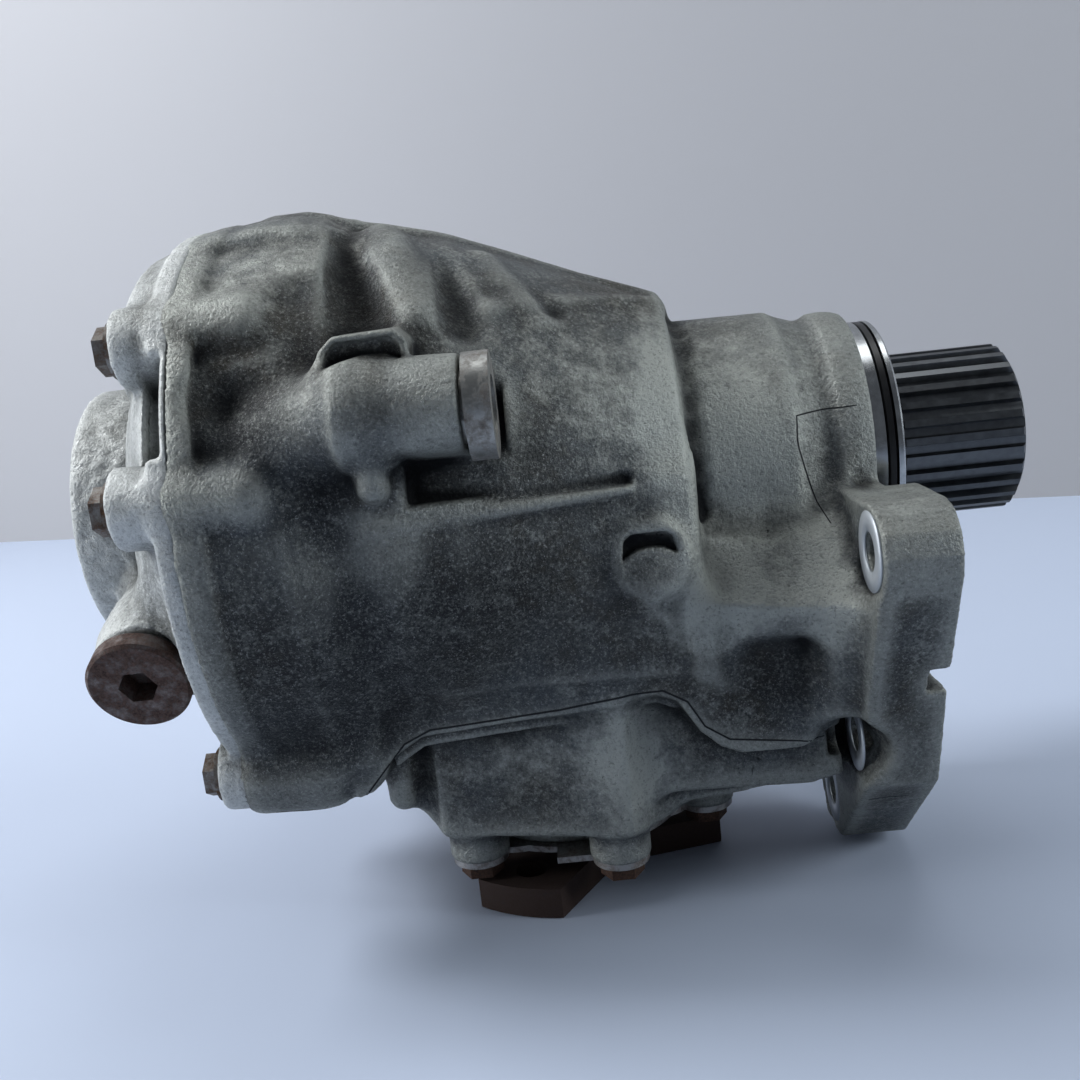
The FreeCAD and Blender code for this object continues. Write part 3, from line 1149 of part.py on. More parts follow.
def drive_flange():
    """Three arms whose tips are turned to one circle, on a hub with a recess for the nut."""
    arms = []
    for k in range(ARM_COUNT):
        half_tip = ARM_TIP_WIDTH / 2
        half_root = ARM_ROOT_WIDTH / 2
        corners = [Vector(0, -half_root, 0), Vector(ARM_REACH + 2, -half_tip, 0), Vector(ARM_REACH + 2, half_tip, 0), Vector(0, half_root, 0)]
        arm = Part.Face(Part.makePolygon(corners + [corners[0]])).extrude(Vector(0, 0, ARM_THICKNESS))
        arms.append(turned_pinion(arm, ARM_FIRST + k * 360.0 / ARM_COUNT))
    plate = arms[0].multiFuse(arms[1:]).common(disc_z(0, ARM_THICKNESS, ARM_REACH))
    body = plate.multiFuse([disc_z(0, hub_end_z(), HUB_RADIUS), disc_z(0, ARM_THICKNESS, HUB_RADIUS + 3)])
    cuts = [disc_z(-1, RECESS_DEPTH, RECESS_RADIUS), disc_z(0, hub_end_z() + 1, PINION_SPLINE_RADIUS)]
    for k in range(ARM_COUNT):
        turn = math.radians(ARM_FIRST + k * 360.0 / ARM_COUNT)
        place = Vector(ARM_HOLE_CIRCLE * math.cos(turn), ARM_HOLE_CIRCLE * math.sin(turn), -1)
        cuts.append(Part.makeCylinder(ARM_HOLE_RADIUS, ARM_THICKNESS + 2, place))
    return body.cut(cuts).removeSplitter()


def retainer_plate():
    """Thin steel plate with one lobe for each bolt and a small tab to the front."""
    low = PLATE_TOP_Z - PLATE_THICKNESS
    parts = [disc_z(low, PLATE_TOP_Z, PLATE_RING_RADIUS)]
    for x, y in tower_bolt_places():
        parts.append(Part.makeCylinder(TOWER_BOSS_RADIUS - 0.6, PLATE_THICKNESS, Vector(x, y, low)))
        inner = Vector(x * 0.6, y * 0.6, low)
        parts.append(Part.makeCylinder(TOWER_BOSS_RADIUS + 4, PLATE_THICKNESS, inner))
    tab = Part.makeBox(12, 10, PLATE_THICKNESS, Vector(-6, -PLATE_RING_RADIUS - 7, low))
    parts.append(tab)
    plate = parts[0].multiFuse(parts[1:])
    cuts = [disc_z(0, PLATE_TOP_Z + 1, HUB_RADIUS + 1)]
    for x, y in tower_bolt_places():
        cuts.append(Part.makeCylinder(M8_RADIUS, 30, Vector(x, y, 0)))
    return plate.cut(cuts).removeSplitter()


def retainer_bolts():
    bolts = []
    seat = PLATE_TOP_Z - PLATE_THICKNESS
    for x, y in tower_bolt_places():
        bolts.append(hex_bolt(Vector(x, y, seat), (0, 0, -1), M8_RADIUS, TOWER_BOLT_LENGTH, M8_ACROSS_FLATS, TOWER_BOLT_HEAD, 0, 0))
    return Part.makeCompound(bolts)


def differential_cage():
    """One-piece cage: hub for the left bearing, round middle with windows, flange for the ring gear, tube to the right."""
    sphere = CAGE_SPHERE_RADIUS + CAGE_WALL
    flange_left = RING_BACK_X - CAGE_FLANGE_WIDTH
    tube_end = carrier_end_x()
    hub_start = LEFT_BEARING_X - 1
    left_end = LEFT_BEARING_X + LEFT_BEARING_WIDTH
    hub = [(hub_start, 0), (hub_start, LEFT_BEARING_INNER), (left_end, LEFT_BEARING_INNER), (left_end, LEFT_BEARING_INNER + 4),
           (DIFF_X - sphere * 0.7, LEFT_BEARING_INNER + 10), (DIFF_X, LEFT_BEARING_INNER + 10), (DIFF_X, 0)]
    flange = [(DIFF_X, 0), (DIFF_X, sphere - 1), (flange_left - 4, sphere), (flange_left, sphere + 5), (flange_left, CAGE_FLANGE_RADIUS),
              (RING_BACK_X, CAGE_FLANGE_RADIUS), (RING_BACK_X, RING_BORE_RADIUS), (RING_BACK_X + 10, RING_BORE_RADIUS),
              (RING_BACK_X + 16, CAGE_TUBE_RADIUS), (RIGHT_BEARING_X, CAGE_TUBE_RADIUS), (RIGHT_BEARING_X, RIGHT_BEARING_INNER),
              (tube_end, RIGHT_BEARING_INNER), (tube_end, 0)]
    body = revolved_x(hub).multiFuse([revolved_x(flange), Part.makeSphere(sphere, Vector(DIFF_X, 0, AXIS_HEIGHT))])
    flat = SIDE_BACK_DISTANCE + WASHER_THICKNESS
    room = Part.makeSphere(CAGE_SPHERE_RADIUS, Vector(DIFF_X, 0, AXIS_HEIGHT)).common(disc_x(DIFF_X - flat, DIFF_X + flat, CAGE_SPHERE_RADIUS))
    bush = 14.0
    cuts = [room, disc_x(hub_start - 1, DIFF_X, CAGE_LEFT_BORE), disc_x(DIFF_X, tube_end - bush, CAGE_RIGHT_BORE),
            disc_x(tube_end - bush - 1, tube_end + 1, SHAFT_RADIUS + RUNNING_GAP), cross_pin_bar(60),
            Part.makeBox(CAGE_WINDOW_WIDTH, 140, CAGE_WINDOW_HEIGHT,
                         Vector(DIFF_X - CAGE_WINDOW_WIDTH / 2, -70, AXIS_HEIGHT - CAGE_WINDOW_HEIGHT / 2)),
            roll_pin_bar(2)]
    for y, z in ring_bolt_yz():
        cuts.append(Part.makeCylinder(RING_BOLT_RADIUS, 40, Vector(flange_left - 8, y, z), X_AXIS))
        cuts.append(Part.makeCylinder(RING_BOLT_ACROSS_FLATS * 0.68, 20, Vector(flange_left - 20, y, z), X_AXIS))
    return body.cut(cuts).removeSplitter()


def ring_bolt_yz():
    """Ring gear bolts in the YZ plane, turned as to_main_axis turns the gear."""
    places = []
    for x, y in ring_bolt_places():
        places.append((-y, AXIS_HEIGHT + x))
    return places


def ring_gear_bolts():
    bolts = []
    seat = RING_BACK_X - CAGE_FLANGE_WIDTH
    for y, z in ring_bolt_yz():
        bolts.append(hex_bolt(Vector(seat, y, z), (-1, 0, 0), RING_BOLT_RADIUS, RING_BOLT_LENGTH, RING_BOLT_ACROSS_FLATS,
                              RING_BOLT_HEAD, 0, 0))
    return Part.makeCompound(bolts)


def cross_pin_bar(reach):
    return Part.makeCylinder(CROSS_PIN_RADIUS, 2 * reach, Vector(DIFF_X, 0, AXIS_HEIGHT - reach))


def cross_pin():
    """Pin that carries both spider gears, held by a roll pin at its upper end."""
    reach = CAGE_SPHERE_RADIUS + CAGE_WALL - 0.5
    return cross_pin_bar(reach).cut(roll_pin_bar(1))


def roll_pin_bar(extra):
    """Bar across the cross pin, inside the wall of the cage."""
    height = AXIS_HEIGHT + CAGE_SPHERE_RADIUS + CAGE_WALL / 2 - 1
    half = CROSS_PIN_RADIUS + 2 + extra
    return Part.makeCylinder(ROLL_PIN_RADIUS, 2 * half, Vector(DIFF_X - half, 0, height), X_AXIS)


def roll_pin():
    return roll_pin_bar(1).cut(Part.makeCylinder(ROLL_PIN_RADIUS * 0.5, 60, Vector(DIFF_X - 30, 0, AXIS_HEIGHT + CAGE_SPHERE_RADIUS
                                                                                   + CAGE_WALL / 2 - 1), X_AXIS))


def diff_gear(own_radius, other_radius, teeth, share, own_addendum, other_addendum, back, hub_radius, first):
    """Bevel gear of the differential, apex at the origin, axis Z, teeth below the apex."""
    cone = math.atan2(own_radius, other_radius)
    toe = (DIFF_CONE_DISTANCE - DIFF_FACE_WIDTH) / DIFF_CONE_DISTANCE
    tip = (-other_radius + own_addendum * math.sin(cone), own_radius + own_addendum * math.cos(cone))
    inner_tip = (tip[0] * toe, tip[1] * toe)
    profile = [(-back, 0), (-back, hub_radius), (tip[0] - 4, tip[1] - 2), tip, inner_tip, (inner_tip[0], 0)]
    pitch = 2 * math.pi * own_radius / teeth
    space = pitch - pitch * share + DIFF_BACKLASH / 2
    cutter = bevel_space(DIFF_CONE_DISTANCE, own_radius, teeth, space, own_addendum, other_addendum + DIFF_TOOTH_CLEARANCE,
                         DIFF_PRESSURE_ANGLE, DIFF_FACE_WIDTH)
    return bevel_gear(revolved(profile, ORIGIN, "z"), cutter, teeth, first)


def side_gear(direction):
    """Side gear facing the centre; direction is -1 on the left and 1 on the right."""
    gear = diff_gear(DIFF_SIDE_RADIUS, DIFF_SPIDER_RADIUS, SIDE_TEETH, 1 - SPIDER_TOOTH_SHARE, SIDE_ADDENDUM, SPIDER_ADDENDUM,
                     SIDE_BACK_DISTANCE, SIDE_HUB_RADIUS, 0)
    gear.rotate(ORIGIN, Vector(0, 1, 0), 90 * -direction)
    gear.translate(Vector(DIFF_X, 0, AXIS_HEIGHT))
    return gear


def left_side_gear():
    """Left side gear, with the internal splines that take the left drive shaft."""
    bore = star(LEFT_SPLINE_RADIUS, LEFT_SPLINE_DEPTH, LEFT_SPLINE_TEETH, -60, 60)
    bore.translate(Vector(DIFF_X, 0, AXIS_HEIGHT))
    return side_gear(-1).cut(bore)


def right_side_gear():
    return side_gear(1).cut(disc_x(DIFF_X - 5, DIFF_X + 60, SHAFT_RADIUS))


def spider_gear(direction):
    """Spider gear on the cross pin, its back turned to the sphere of the cage; direction is 1 above and -1 below."""
    back = CAGE_SPHERE_RADIUS - WASHER_THICKNESS
    gear = diff_gear(DIFF_SPIDER_RADIUS, DIFF_SIDE_RADIUS, SPIDER_TEETH, SPIDER_TOOTH_SHARE, SPIDER_ADDENDUM, SIDE_ADDENDUM,
                     back, DIFF_SPIDER_RADIUS - 3, 180.0 / SPIDER_TEETH)
    gear = gear.common(Part.makeSphere(back - 0.05)).cut(Part.makeCylinder(CROSS_PIN_RADIUS + RUNNING_GAP, 80, Vector(0, 0, -60)))
    if direction > 0:
        gear.rotate(ORIGIN, X_AXIS, 180)
    gear.translate(Vector(DIFF_X, 0, AXIS_HEIGHT))
    return gear


def side_washers():
    """Flat thrust washers behind the side gears."""
    washers = []
    for side in (-1, 1):
        near = DIFF_X + side * (SIDE_BACK_DISTANCE + 0.1)
        far = DIFF_X + side * (SIDE_BACK_DISTANCE + WASHER_THICKNESS)
        washers.append(ring_x(min(near, far), max(near, far), SIDE_HUB_RADIUS, CAGE_RIGHT_BORE - 2.5))
    return Part.makeCompound(washers)


def spider_washers():
    """Cupped thrust washers between the spider gears and the cage."""
    washers = []
    centre = Vector(DIFF_X, 0, AXIS_HEIGHT)
    shell = Part.makeSphere(CAGE_SPHERE_RADIUS, centre).cut(Part.makeSphere(CAGE_SPHERE_RADIUS - WASHER_THICKNESS + 0.1, centre))
    for side in (-1, 1):
        base = Vector(DIFF_X, 0, AXIS_HEIGHT if side > 0 else AXIS_HEIGHT - CAGE_SPHERE_RADIUS - 1)
        tube = Part.makeCylinder(DIFF_SPIDER_RADIUS - 2, CAGE_SPHERE_RADIUS + 1, base)
        tube = tube.cut(Part.makeCylinder(CROSS_PIN_RADIUS, CAGE_SPHERE_RADIUS + 1, base))
        washers.append(shell.common(tube))
    return Part.makeCompound(washers)


def left_shim():
    return ring_x(left_seat_x(), LEFT_BEARING_X, LEFT_BEARING_OUTER, LEFT_BEARING_OUTER - CUP_SHOULDER)


def bearings():
    """Cups, cones and rollers of the four taper bearings; big ends face the load."""
    sets = {
        "left_carrier": (Vector(LEFT_BEARING_X + LEFT_BEARING_WIDTH, 0, AXIS_HEIGHT), -X_AXIS, LEFT_BEARING_WIDTH,
                         LEFT_BEARING_INNER, LEFT_BEARING_OUTER),
        "right_carrier": (Vector(RIGHT_BEARING_X, 0, AXIS_HEIGHT), X_AXIS, RIGHT_BEARING_WIDTH, RIGHT_BEARING_INNER,
                          RIGHT_BEARING_OUTER),
        "pinion_head": (Vector(0, 0, HEAD_BEARING_TOP_Z), -Z_AXIS, HEAD_BEARING_WIDTH, HEAD_BEARING_INNER, HEAD_BEARING_OUTER),
        "pinion_tail": (Vector(0, 0, TAIL_BEARING_Z), Z_AXIS, TAIL_BEARING_WIDTH, TAIL_BEARING_INNER, TAIL_BEARING_OUTER)}
    nodes = {}
    for name, (centre, direction, width, inner, outer) in sets.items():
        cup, cone, rollers = taper_bearing(centre, direction, width, inner, outer)
        nodes[name + "_cup"] = cup
        nodes[name + "_cone"] = cone
        nodes[name + "_rollers"] = rollers
    return nodes


def build():
    makers = [main_case, side_cover, cover_bolts, joint_dowels, filler_gasket, filler_plug, drain_gasket, drain_plug, breather,
              core_plug, seal_carrier, spigot_o_ring, right_seal, left_seal, pinion_seal, shaft_bearing_outer,
              shaft_bearing_inner, shaft_bearing_balls, neck_circlip, shaft_circlip, output_shaft, ring_gear, bevel_pinion,
              crush_sleeve, pinion_nut, drive_flange, retainer_plate, retainer_bolts, differential_cage, ring_gear_bolts,
              cross_pin, roll_pin, left_side_gear, right_side_gear, side_washers, spider_washers, left_shim]
    nodes = {maker.__name__: maker() for maker in makers}
    nodes["upper_spider_gear"] = spider_gear(1)
    nodes["lower_spider_gear"] = spider_gear(-1)
    nodes.update(bearings())
    return nodes


if __name__ == "__main__":
    os.makedirs("parts", exist_ok=True)
    for name, shape in build().items():
        print(name, round(shape.Volume), shape.isValid(), len(shape.Solids))
        shape.exportStep("parts/%s.step" % name)
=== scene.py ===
import bpy
import math
import numpy as np
from mathutils import Vector, Matrix
from mathutils.bvhtree import BVHTree


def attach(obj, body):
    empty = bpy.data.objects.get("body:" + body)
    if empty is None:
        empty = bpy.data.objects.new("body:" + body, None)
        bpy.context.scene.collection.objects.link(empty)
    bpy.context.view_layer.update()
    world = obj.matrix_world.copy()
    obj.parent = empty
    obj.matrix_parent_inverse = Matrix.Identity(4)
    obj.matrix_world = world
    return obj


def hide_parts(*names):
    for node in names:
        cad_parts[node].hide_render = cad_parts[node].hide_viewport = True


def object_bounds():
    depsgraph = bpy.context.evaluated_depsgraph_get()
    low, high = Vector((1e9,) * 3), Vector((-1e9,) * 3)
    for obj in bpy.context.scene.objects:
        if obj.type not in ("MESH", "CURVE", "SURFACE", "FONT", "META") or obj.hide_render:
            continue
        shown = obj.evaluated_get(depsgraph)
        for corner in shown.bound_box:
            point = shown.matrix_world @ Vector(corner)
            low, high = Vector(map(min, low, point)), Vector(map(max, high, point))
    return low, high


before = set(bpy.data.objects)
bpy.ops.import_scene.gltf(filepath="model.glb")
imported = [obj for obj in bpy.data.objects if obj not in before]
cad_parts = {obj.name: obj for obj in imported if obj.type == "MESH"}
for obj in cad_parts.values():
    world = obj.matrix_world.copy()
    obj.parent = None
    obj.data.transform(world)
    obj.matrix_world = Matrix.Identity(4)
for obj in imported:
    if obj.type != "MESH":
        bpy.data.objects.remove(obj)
cad_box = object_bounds()

# Cast aluminium finish, shared by the main case and the side cover: sand-like die-cast skin,
# mottled by oil and road dirt and by painted light and shade, darker in its hollows with dirt and
# painted shade, rubbed bright on its crests and flecked with painted glints.
MM = 0.001


def socket(tree, kind, name, way, value=None):
    """Adds a named input or output to a node group."""
    made = tree.interface.new_socket(name=name, in_out=way, socket_type=kind)
    if value is not None:
        made.default_value = value


def noise(tree, where, size_mm, detail, rough=0.6):
    """Noise whose grains are about size_mm across."""
    node = tree.nodes.new("ShaderNodeTexNoise")
    node.inputs["Scale"].default_value = 1000.0 / size_mm
    node.inputs["Detail"].default_value = detail
    node.inputs["Roughness"].default_value = rough
    tree.links.new(where, node.inputs["Vector"])
    return node.outputs["Fac"]


def ramp(tree, value, low, high, to_low=0.0, to_high=1.0):
    """Maps the range from low to high onto another range, clamped."""
    node = tree.nodes.new("ShaderNodeMapRange")
    for name, number in (("From Min", low), ("From Max", high), ("To Min", to_low), ("To Max", to_high)):
        node.inputs[name].default_value = number
    tree.links.new(value, node.inputs["Value"])
    return node.outputs["Result"]


def math_node(tree, how, first, second):
    """Sum, product or the like of two values, each a socket or a number."""
    node = tree.nodes.new("ShaderNodeMath")
    node.operation = how
    for place, value in enumerate((first, second)):
        if isinstance(value, (int, float)):
            node.inputs[place].default_value = value
        else:
            tree.links.new(value, node.inputs[place])
    return node.outputs[0]


def weighed_sum(tree, first, second, weight):
    """The first value plus the second one times a weight."""
    return math_node(tree, "ADD", first, math_node(tree, "MULTIPLY", second, weight))


def mix_colour(tree, share, first, second):
    """Blends two colours, each a socket or a plain colour."""
    node = tree.nodes.new("ShaderNodeMix")
    node.data_type = "RGBA"
    tree.links.new(share, node.inputs["Factor"])
    for name, value in (("A", first), ("B", second)):
        plug = [s for s in node.inputs if s.name == name and s.type == "RGBA"][0]
        if isinstance(value, tuple):
            plug.default_value = value
        else:
            tree.links.new(value, plug)
    return [s for s in node.outputs if s.type == "RGBA"][0]


def build_casting_group():
    """Colours, roughness and height of a weathered casting, from place and relief, with painted shade in its hollows
    and in patches, painted light in patches and painted glints.
    """
    tree = bpy.data.node_groups.new("weathered_casting", "ShaderNodeTree")
    for name, value in (("Pale", (0.36, 0.37, 0.36, 1)), ("Grey", (0.15, 0.155, 0.15, 1)),
                        ("Stain", (0.075, 0.085, 0.07, 1)), ("Grime and shade", (0.02, 0.022, 0.024, 1))):
        socket(tree, "NodeSocketColor", name, "INPUT", value)
    for name, value in (("Wear and glint", 0.5), ("Dirt and shade", 0.6), ("Relief", 0.0), ("Oil and painted shading", 0.0)):
        socket(tree, "NodeSocketFloat", name, "INPUT", value)
    socket(tree, "NodeSocketVector", "Place", "INPUT")
    socket(tree, "NodeSocketColor", "Colour", "OUTPUT")
    socket(tree, "NodeSocketFloat", "Roughness", "OUTPUT")
    socket(tree, "NodeSocketFloat", "Height", "OUTPUT")
    given = tree.nodes.new("NodeGroupInput")
    out = tree.nodes.new("NodeGroupOutput")
    pale, grey, stain, grime_and_shade, wear_and_glint, dirt_and_shade, relief, oil_and_painted_shading, place = [s for s in given.outputs if s.name]
    cloud = noise(tree, place, 42.0, 6.0)
    mottle = noise(tree, place, 7.0, 8.0, 0.7)
    grain = noise(tree, place, 0.8, 3.0, 0.75)
    speck = noise(tree, place, 0.55, 2.0, 0.8)
    sand = noise(tree, place, 1.15, 4.0, 0.65)
    streak = noise(tree, place, 15.0, 7.0, 0.75)
    patch = ramp(tree, weighed_sum(tree, cloud, mottle, 0.6), 0.62, 0.98)
    base = mix_colour(tree, patch, stain, grey)
    # Oil patches darken towards the grime colour and bare patches pale towards the pale one; some of these patches are
    # painted shade and painted light, darker where shade falls and paler where light falls.
    uneven = weighed_sum(tree, oil_and_painted_shading, math_node(tree, "SUBTRACT", mottle, 0.5), 2.0)
    base = mix_colour(tree, ramp(tree, uneven, 0.1, 0.8, 0.0, 0.85), base, grime_and_shade)
    base = mix_colour(tree, ramp(tree, uneven, -0.15, -0.75, 0.0, 0.85), base, pale)
    light = ramp(tree, weighed_sum(tree, mottle, grain, 0.7), 0.82, 1.18)
    clear_of_oil_and_shade = ramp(tree, oil_and_painted_shading, 0.1, 0.8, 1.0, 0.2)
    crest = math_node(tree, "MULTIPLY", ramp(tree, relief, 0.05, 0.75), clear_of_oil_and_shade)
    rub = weighed_sum(tree, crest, light, 0.6)
    base = mix_colour(tree, math_node(tree, "MULTIPLY", rub, wear_and_glint), base, pale)
    scuff = ramp(tree, weighed_sum(tree, streak, sand, 0.45), 0.76, 0.96, 0.0, 0.9)
    scuff = math_node(tree, "MULTIPLY", scuff, clear_of_oil_and_shade)
    base = mix_colour(tree, math_node(tree, "MULTIPLY", scuff, wear_and_glint), base, pale)
    # Painted glints: bright flecks put into the colour, as many as the wear input allows.
    glint = ramp(tree, speck, 0.60, 0.70, 0.0, 0.85)
    base = mix_colour(tree, math_node(tree, "MULTIPLY", glint, wear_and_glint), base, (0.62, 0.64, 0.64, 1))
    base = mix_colour(tree, ramp(tree, sand, 0.54, 0.74, 0.0, 0.38), base, pale)
    base = mix_colour(tree, ramp(tree, sand, 0.46, 0.28, 0.0, 0.45), base, grime_and_shade)
    # Hollows and pits darken towards the grime colour: dirt in the pits, dirt and painted shade in the hollows, near
    # black in the deepest.
    pit = ramp(tree, weighed_sum(tree, grain, mottle, 0.5), 0.62, 0.54)
    hollow = ramp(tree, relief, -0.08, -0.9)
    soil_and_shade = weighed_sum(tree, hollow, pit, 0.5)
    soil_and_shade = math_node(tree, "MINIMUM", math_node(tree, "MULTIPLY", soil_and_shade, dirt_and_shade), 0.95)
    base = mix_colour(tree, soil_and_shade, base, grime_and_shade)
    tree.links.new(base, out.inputs["Colour"])
    rough = weighed_sum(tree, ramp(tree, mottle, 0.3, 0.7, 0.42, 0.62), soil_and_shade, 0.25)
    tree.links.new(rough, out.inputs["Roughness"])
    height = weighed_sum(tree, math_node(tree, "MULTIPLY", grain, 0.35), sand, 0.65)
    tree.links.new(height, out.inputs["Height"])
    return tree


casting_group = build_casting_group()


def new_material(name):
    """A material with its node tree and its shader."""
    material = bpy.data.materials.new(name)
    material.use_nodes = True
    return material, material.node_tree, material.node_tree.nodes["Principled BSDF"]


def new_object(name, data):
    """A mesh, a lamp or a camera as an object of the scene."""
    made = bpy.data.objects.new(name, data)
    bpy.context.collection.objects.link(made)
    return made


def new_mesh(name, vertices, faces):
    """A mesh of these vertices, in metres, and faces."""
    mesh = bpy.data.meshes.new(name)
    mesh.from_pydata(vertices, [], faces)
    return mesh


def keep_modified(piece):
    """Keeps the mesh that the piece's modifiers make of it, without them."""
    made = bpy.data.meshes.new_from_object(piece.evaluated_get(bpy.context.evaluated_depsgraph_get()))
    piece.modifiers.clear()
    piece.data = made


def place_of(tree):
    """Where a point of the piece is, so that patterns keep their size in metres."""
    return tree.nodes.new("ShaderNodeTexCoord").outputs["Object"]


def add_bump(tree, shader, height, strength, distance_mm):
    """Lets a height between 0 and 1 stand out by a distance in the light."""
    bump = tree.nodes.new("ShaderNodeBump")
    bump.inputs["Strength"].default_value = strength
    bump.inputs["Distance"].default_value = distance_mm * MM
    tree.links.new(height, bump.inputs["Height"])
    tree.links.new(bump.outputs["Normal"], shader.inputs["Normal"])


def grouped_material(name, group_tree, values):
    """A material whose colour and roughness come from a node group with these values."""
    material, tree, shader = new_material(name)
    group = tree.nodes.new("ShaderNodeGroup")
    group.node_tree = group_tree
    for key, value in values.items():
        group.inputs[key].default_value = value
    tree.links.new(place_of(tree), group.inputs["Place"])
    tree.links.new(group.outputs["Colour"], shader.inputs["Base Color"])
    tree.links.new(group.outputs["Roughness"], shader.inputs["Roughness"])
    return material, tree, shader, group


def casting_material(name, metallic, values):
    """Cast aluminium with its own colours and its own amounts of worn metal, painted glints, dirtiness and painted
    shade.
    """
    material, tree, shader, group = grouped_material(name, casting_group, values)
    for attribute, entry in (("relief", "Relief"), ("oil_and_painted_shading", "Oil and painted shading")):
        node = tree.nodes.new("ShaderNodeAttribute")
        node.attribute_name = attribute
        tree.links.new(node.outputs["Fac"], group.inputs[entry])
    shader.inputs["Metallic"].default_value = metallic
    add_bump(tree, shader, group.outputs["Height"], 0.9, 0.9)
    return material


# Main case: one aluminium die casting, drum, cone and neck round the output axis, with the pinion
# tower below and the mounting flange at the right. Its forms run into each other with cast radii,
# so it is built as a distance field in millimetres and skinned; machined faces are cut afterwards.
CELL = 1.0
FAR = 60.0
SKIN_CLEARANCE = 0.1
FINE_CELLS, WIDE_CELLS, WIDE_DEPTH = 3, 9, 5.0
CASE_TRIANGLES = 180000
CASE_SKIN_DEPTH, CASE_SKIN_SEED = 0.02, 3
AXIS_Z = 133.0
JOINT_X = -93
RIM_RADIUS = 87
DRUM_LINE = ((JOINT_X, 83), (-62, 84.5), (-40, 82), (-20, 77.6), (20, 61.5), (43.6, 52.4), (45.2, 46.8),
             (48, 44.6), (77, 44.3), (80.5, 42.5), (86.5, 40.5), (92, 41.4), (97, 41.8), (100.8, 41.6))
BOLT_RING = 76.5
BOLT_ANGLES = (10.3, 46.3, 118.3, 154.3, 190.3, 226.3, 262.3)
EAR_BOLT = (89.0, -57.0)
TOWER_RING = 46.0
TOWER_FIRST = -132.0
TOWER_FACE = 17.6
TUBE_Y, TUBE_Z, TUBE_END, TUBE_RADIUS, TUBE_BORE = -78, 164.5, -14.5, 14.2, 9.6
FLANGE_BACK, FLANGE_FACE = 88, 110
FLANGE_HOLES = ((-75, 114), (66, 114), (-45, 50), (38, 50), (-8, 15.5))
FLANGE_HOLE_RADIUS = 5.5
SPOTFACE_RADIUS, SPOTFACE_FROM, SPOTFACE_TO = 11.6, 84.2, 88.9
MARGIN = 3


def casting_grid(low, high, cell):
    """Block of points round a casting, each with its distance to the surface, negative inside."""
    axes = [np.arange(a, b + cell, cell, dtype=np.float32) for a, b in zip(low, high)]
    return {"axes": axes, "cell": cell, "field": np.full([len(a) for a in axes], FAR, np.float32)}


def near(grid, low, high, reach):
    """The grid's points in a box widened by a reach: slices and x, y, z."""
    where = []
    for axis, a, b in zip(grid["axes"], low, high):
        where.append(slice(int(np.searchsorted(axis, a - reach)), int(np.searchsorted(axis, b + reach))))
    x, y, z = [axis[cut] for axis, cut in zip(grid["axes"], where)]
    return tuple(where), x[:, None, None], y[None, :, None], z[None, None, :]


def melt(a, b, radius):
    """The lower of two distances, with a cast radius where they meet."""
    share = np.maximum(radius - np.abs(a - b), 0) / radius
    return np.minimum(a, b) - share * share * radius / 4


def melt_max(a, b, radius):
    """The higher of two distances, rounded in the same way."""
    return -melt(-a, -b, radius)


def add(grid, shape, radius=4.0):
    """Joins a shape, given as its box and its distance function, to the casting."""
    low, high, distance = shape
    where, x, y, z = near(grid, low, high, radius + MARGIN)
    grid["field"][where] = melt(grid["field"][where], distance(x, y, z), radius)


def cut(grid, shape, radius=1.5):
    """Takes a shape out of the casting."""
    low, high, distance = shape
    where, x, y, z = near(grid, low, high, radius + MARGIN)
    grid["field"][where] = -melt(-grid["field"][where], distance(x, y, z), radius)


def turned(line):
    """Solid of revolution about the output axis; line is (x, radius) from left to right."""
    places = np.array([p[0] for p in line], np.float32)
    radii = np.array([p[1] for p in line], np.float32)
    widest = float(radii.max())

    def distance(x, y, z):
        radial = np.hypot(y, z - AXIS_Z)
        here = np.interp(x, places, radii).astype(np.float32)
        slope = np.gradient(radii, places)
        lean = 1 / np.sqrt(1 + np.interp(x, places, slope) ** 2).astype(np.float32)
        side = (radial - here) * lean
        return np.maximum(side, np.maximum(places[0] - x, x - places[-1]))
    return (places[0], -widest, AXIS_Z - widest), (places[-1], widest, AXIS_Z + widest), distance


def round_cone(a, b, ra, rb):
    """Rod with round ends whose radius goes from ra at a to rb at b."""
    a, b = np.array(a, np.float32), np.array(b, np.float32)
    wide = max(ra, rb)

    def distance(x, y, z):
        d = b - a
        along = ((x - a[0]) * d[0] + (y - a[1]) * d[1] + (z - a[2]) * d[2]) / float(d @ d)
        along = np.clip(along, 0, 1)
        away = (x - a[0] - along * d[0]) ** 2 + (y - a[1] - along * d[1]) ** 2 + (z - a[2] - along * d[2]) ** 2
        return np.sqrt(away) - (ra + along * (rb - ra))
    return np.minimum(a, b) - wide, np.maximum(a, b) + wide, distance


def bead(points, radius):
    """Round rod along a line of points, as one shape so that it has no lumps."""
    points = [np.array(q, np.float32) for q in points]

    def distance(x, y, z):
        parts = [round_cone(a, b, radius, radius)[2](x, y, z) for a, b in zip(points, points[1:])]
        return np.minimum.reduce(parts)
    return np.min(points, 0) - radius, np.max(points, 0) + radius, distance


def rod(a, b, radius, rounding=0.8):
    """Straight rod with flat ends."""
    a, b = np.array(a, np.float32), np.array(b, np.float32)
    length = float(np.linalg.norm(b - a))
    d = (b - a) / length

    def distance(x, y, z):
        along = (x - a[0]) * d[0] + (y - a[1]) * d[1] + (z - a[2]) * d[2]
        square = (x - a[0]) ** 2 + (y - a[1]) ** 2 + (z - a[2]) ** 2 - along ** 2
        side = np.sqrt(np.maximum(square, 0)) - radius
        return melt_max(side, np.abs(along - length / 2) - length / 2, rounding)
    return np.minimum(a, b) - radius, np.maximum(a, b) + radius, distance


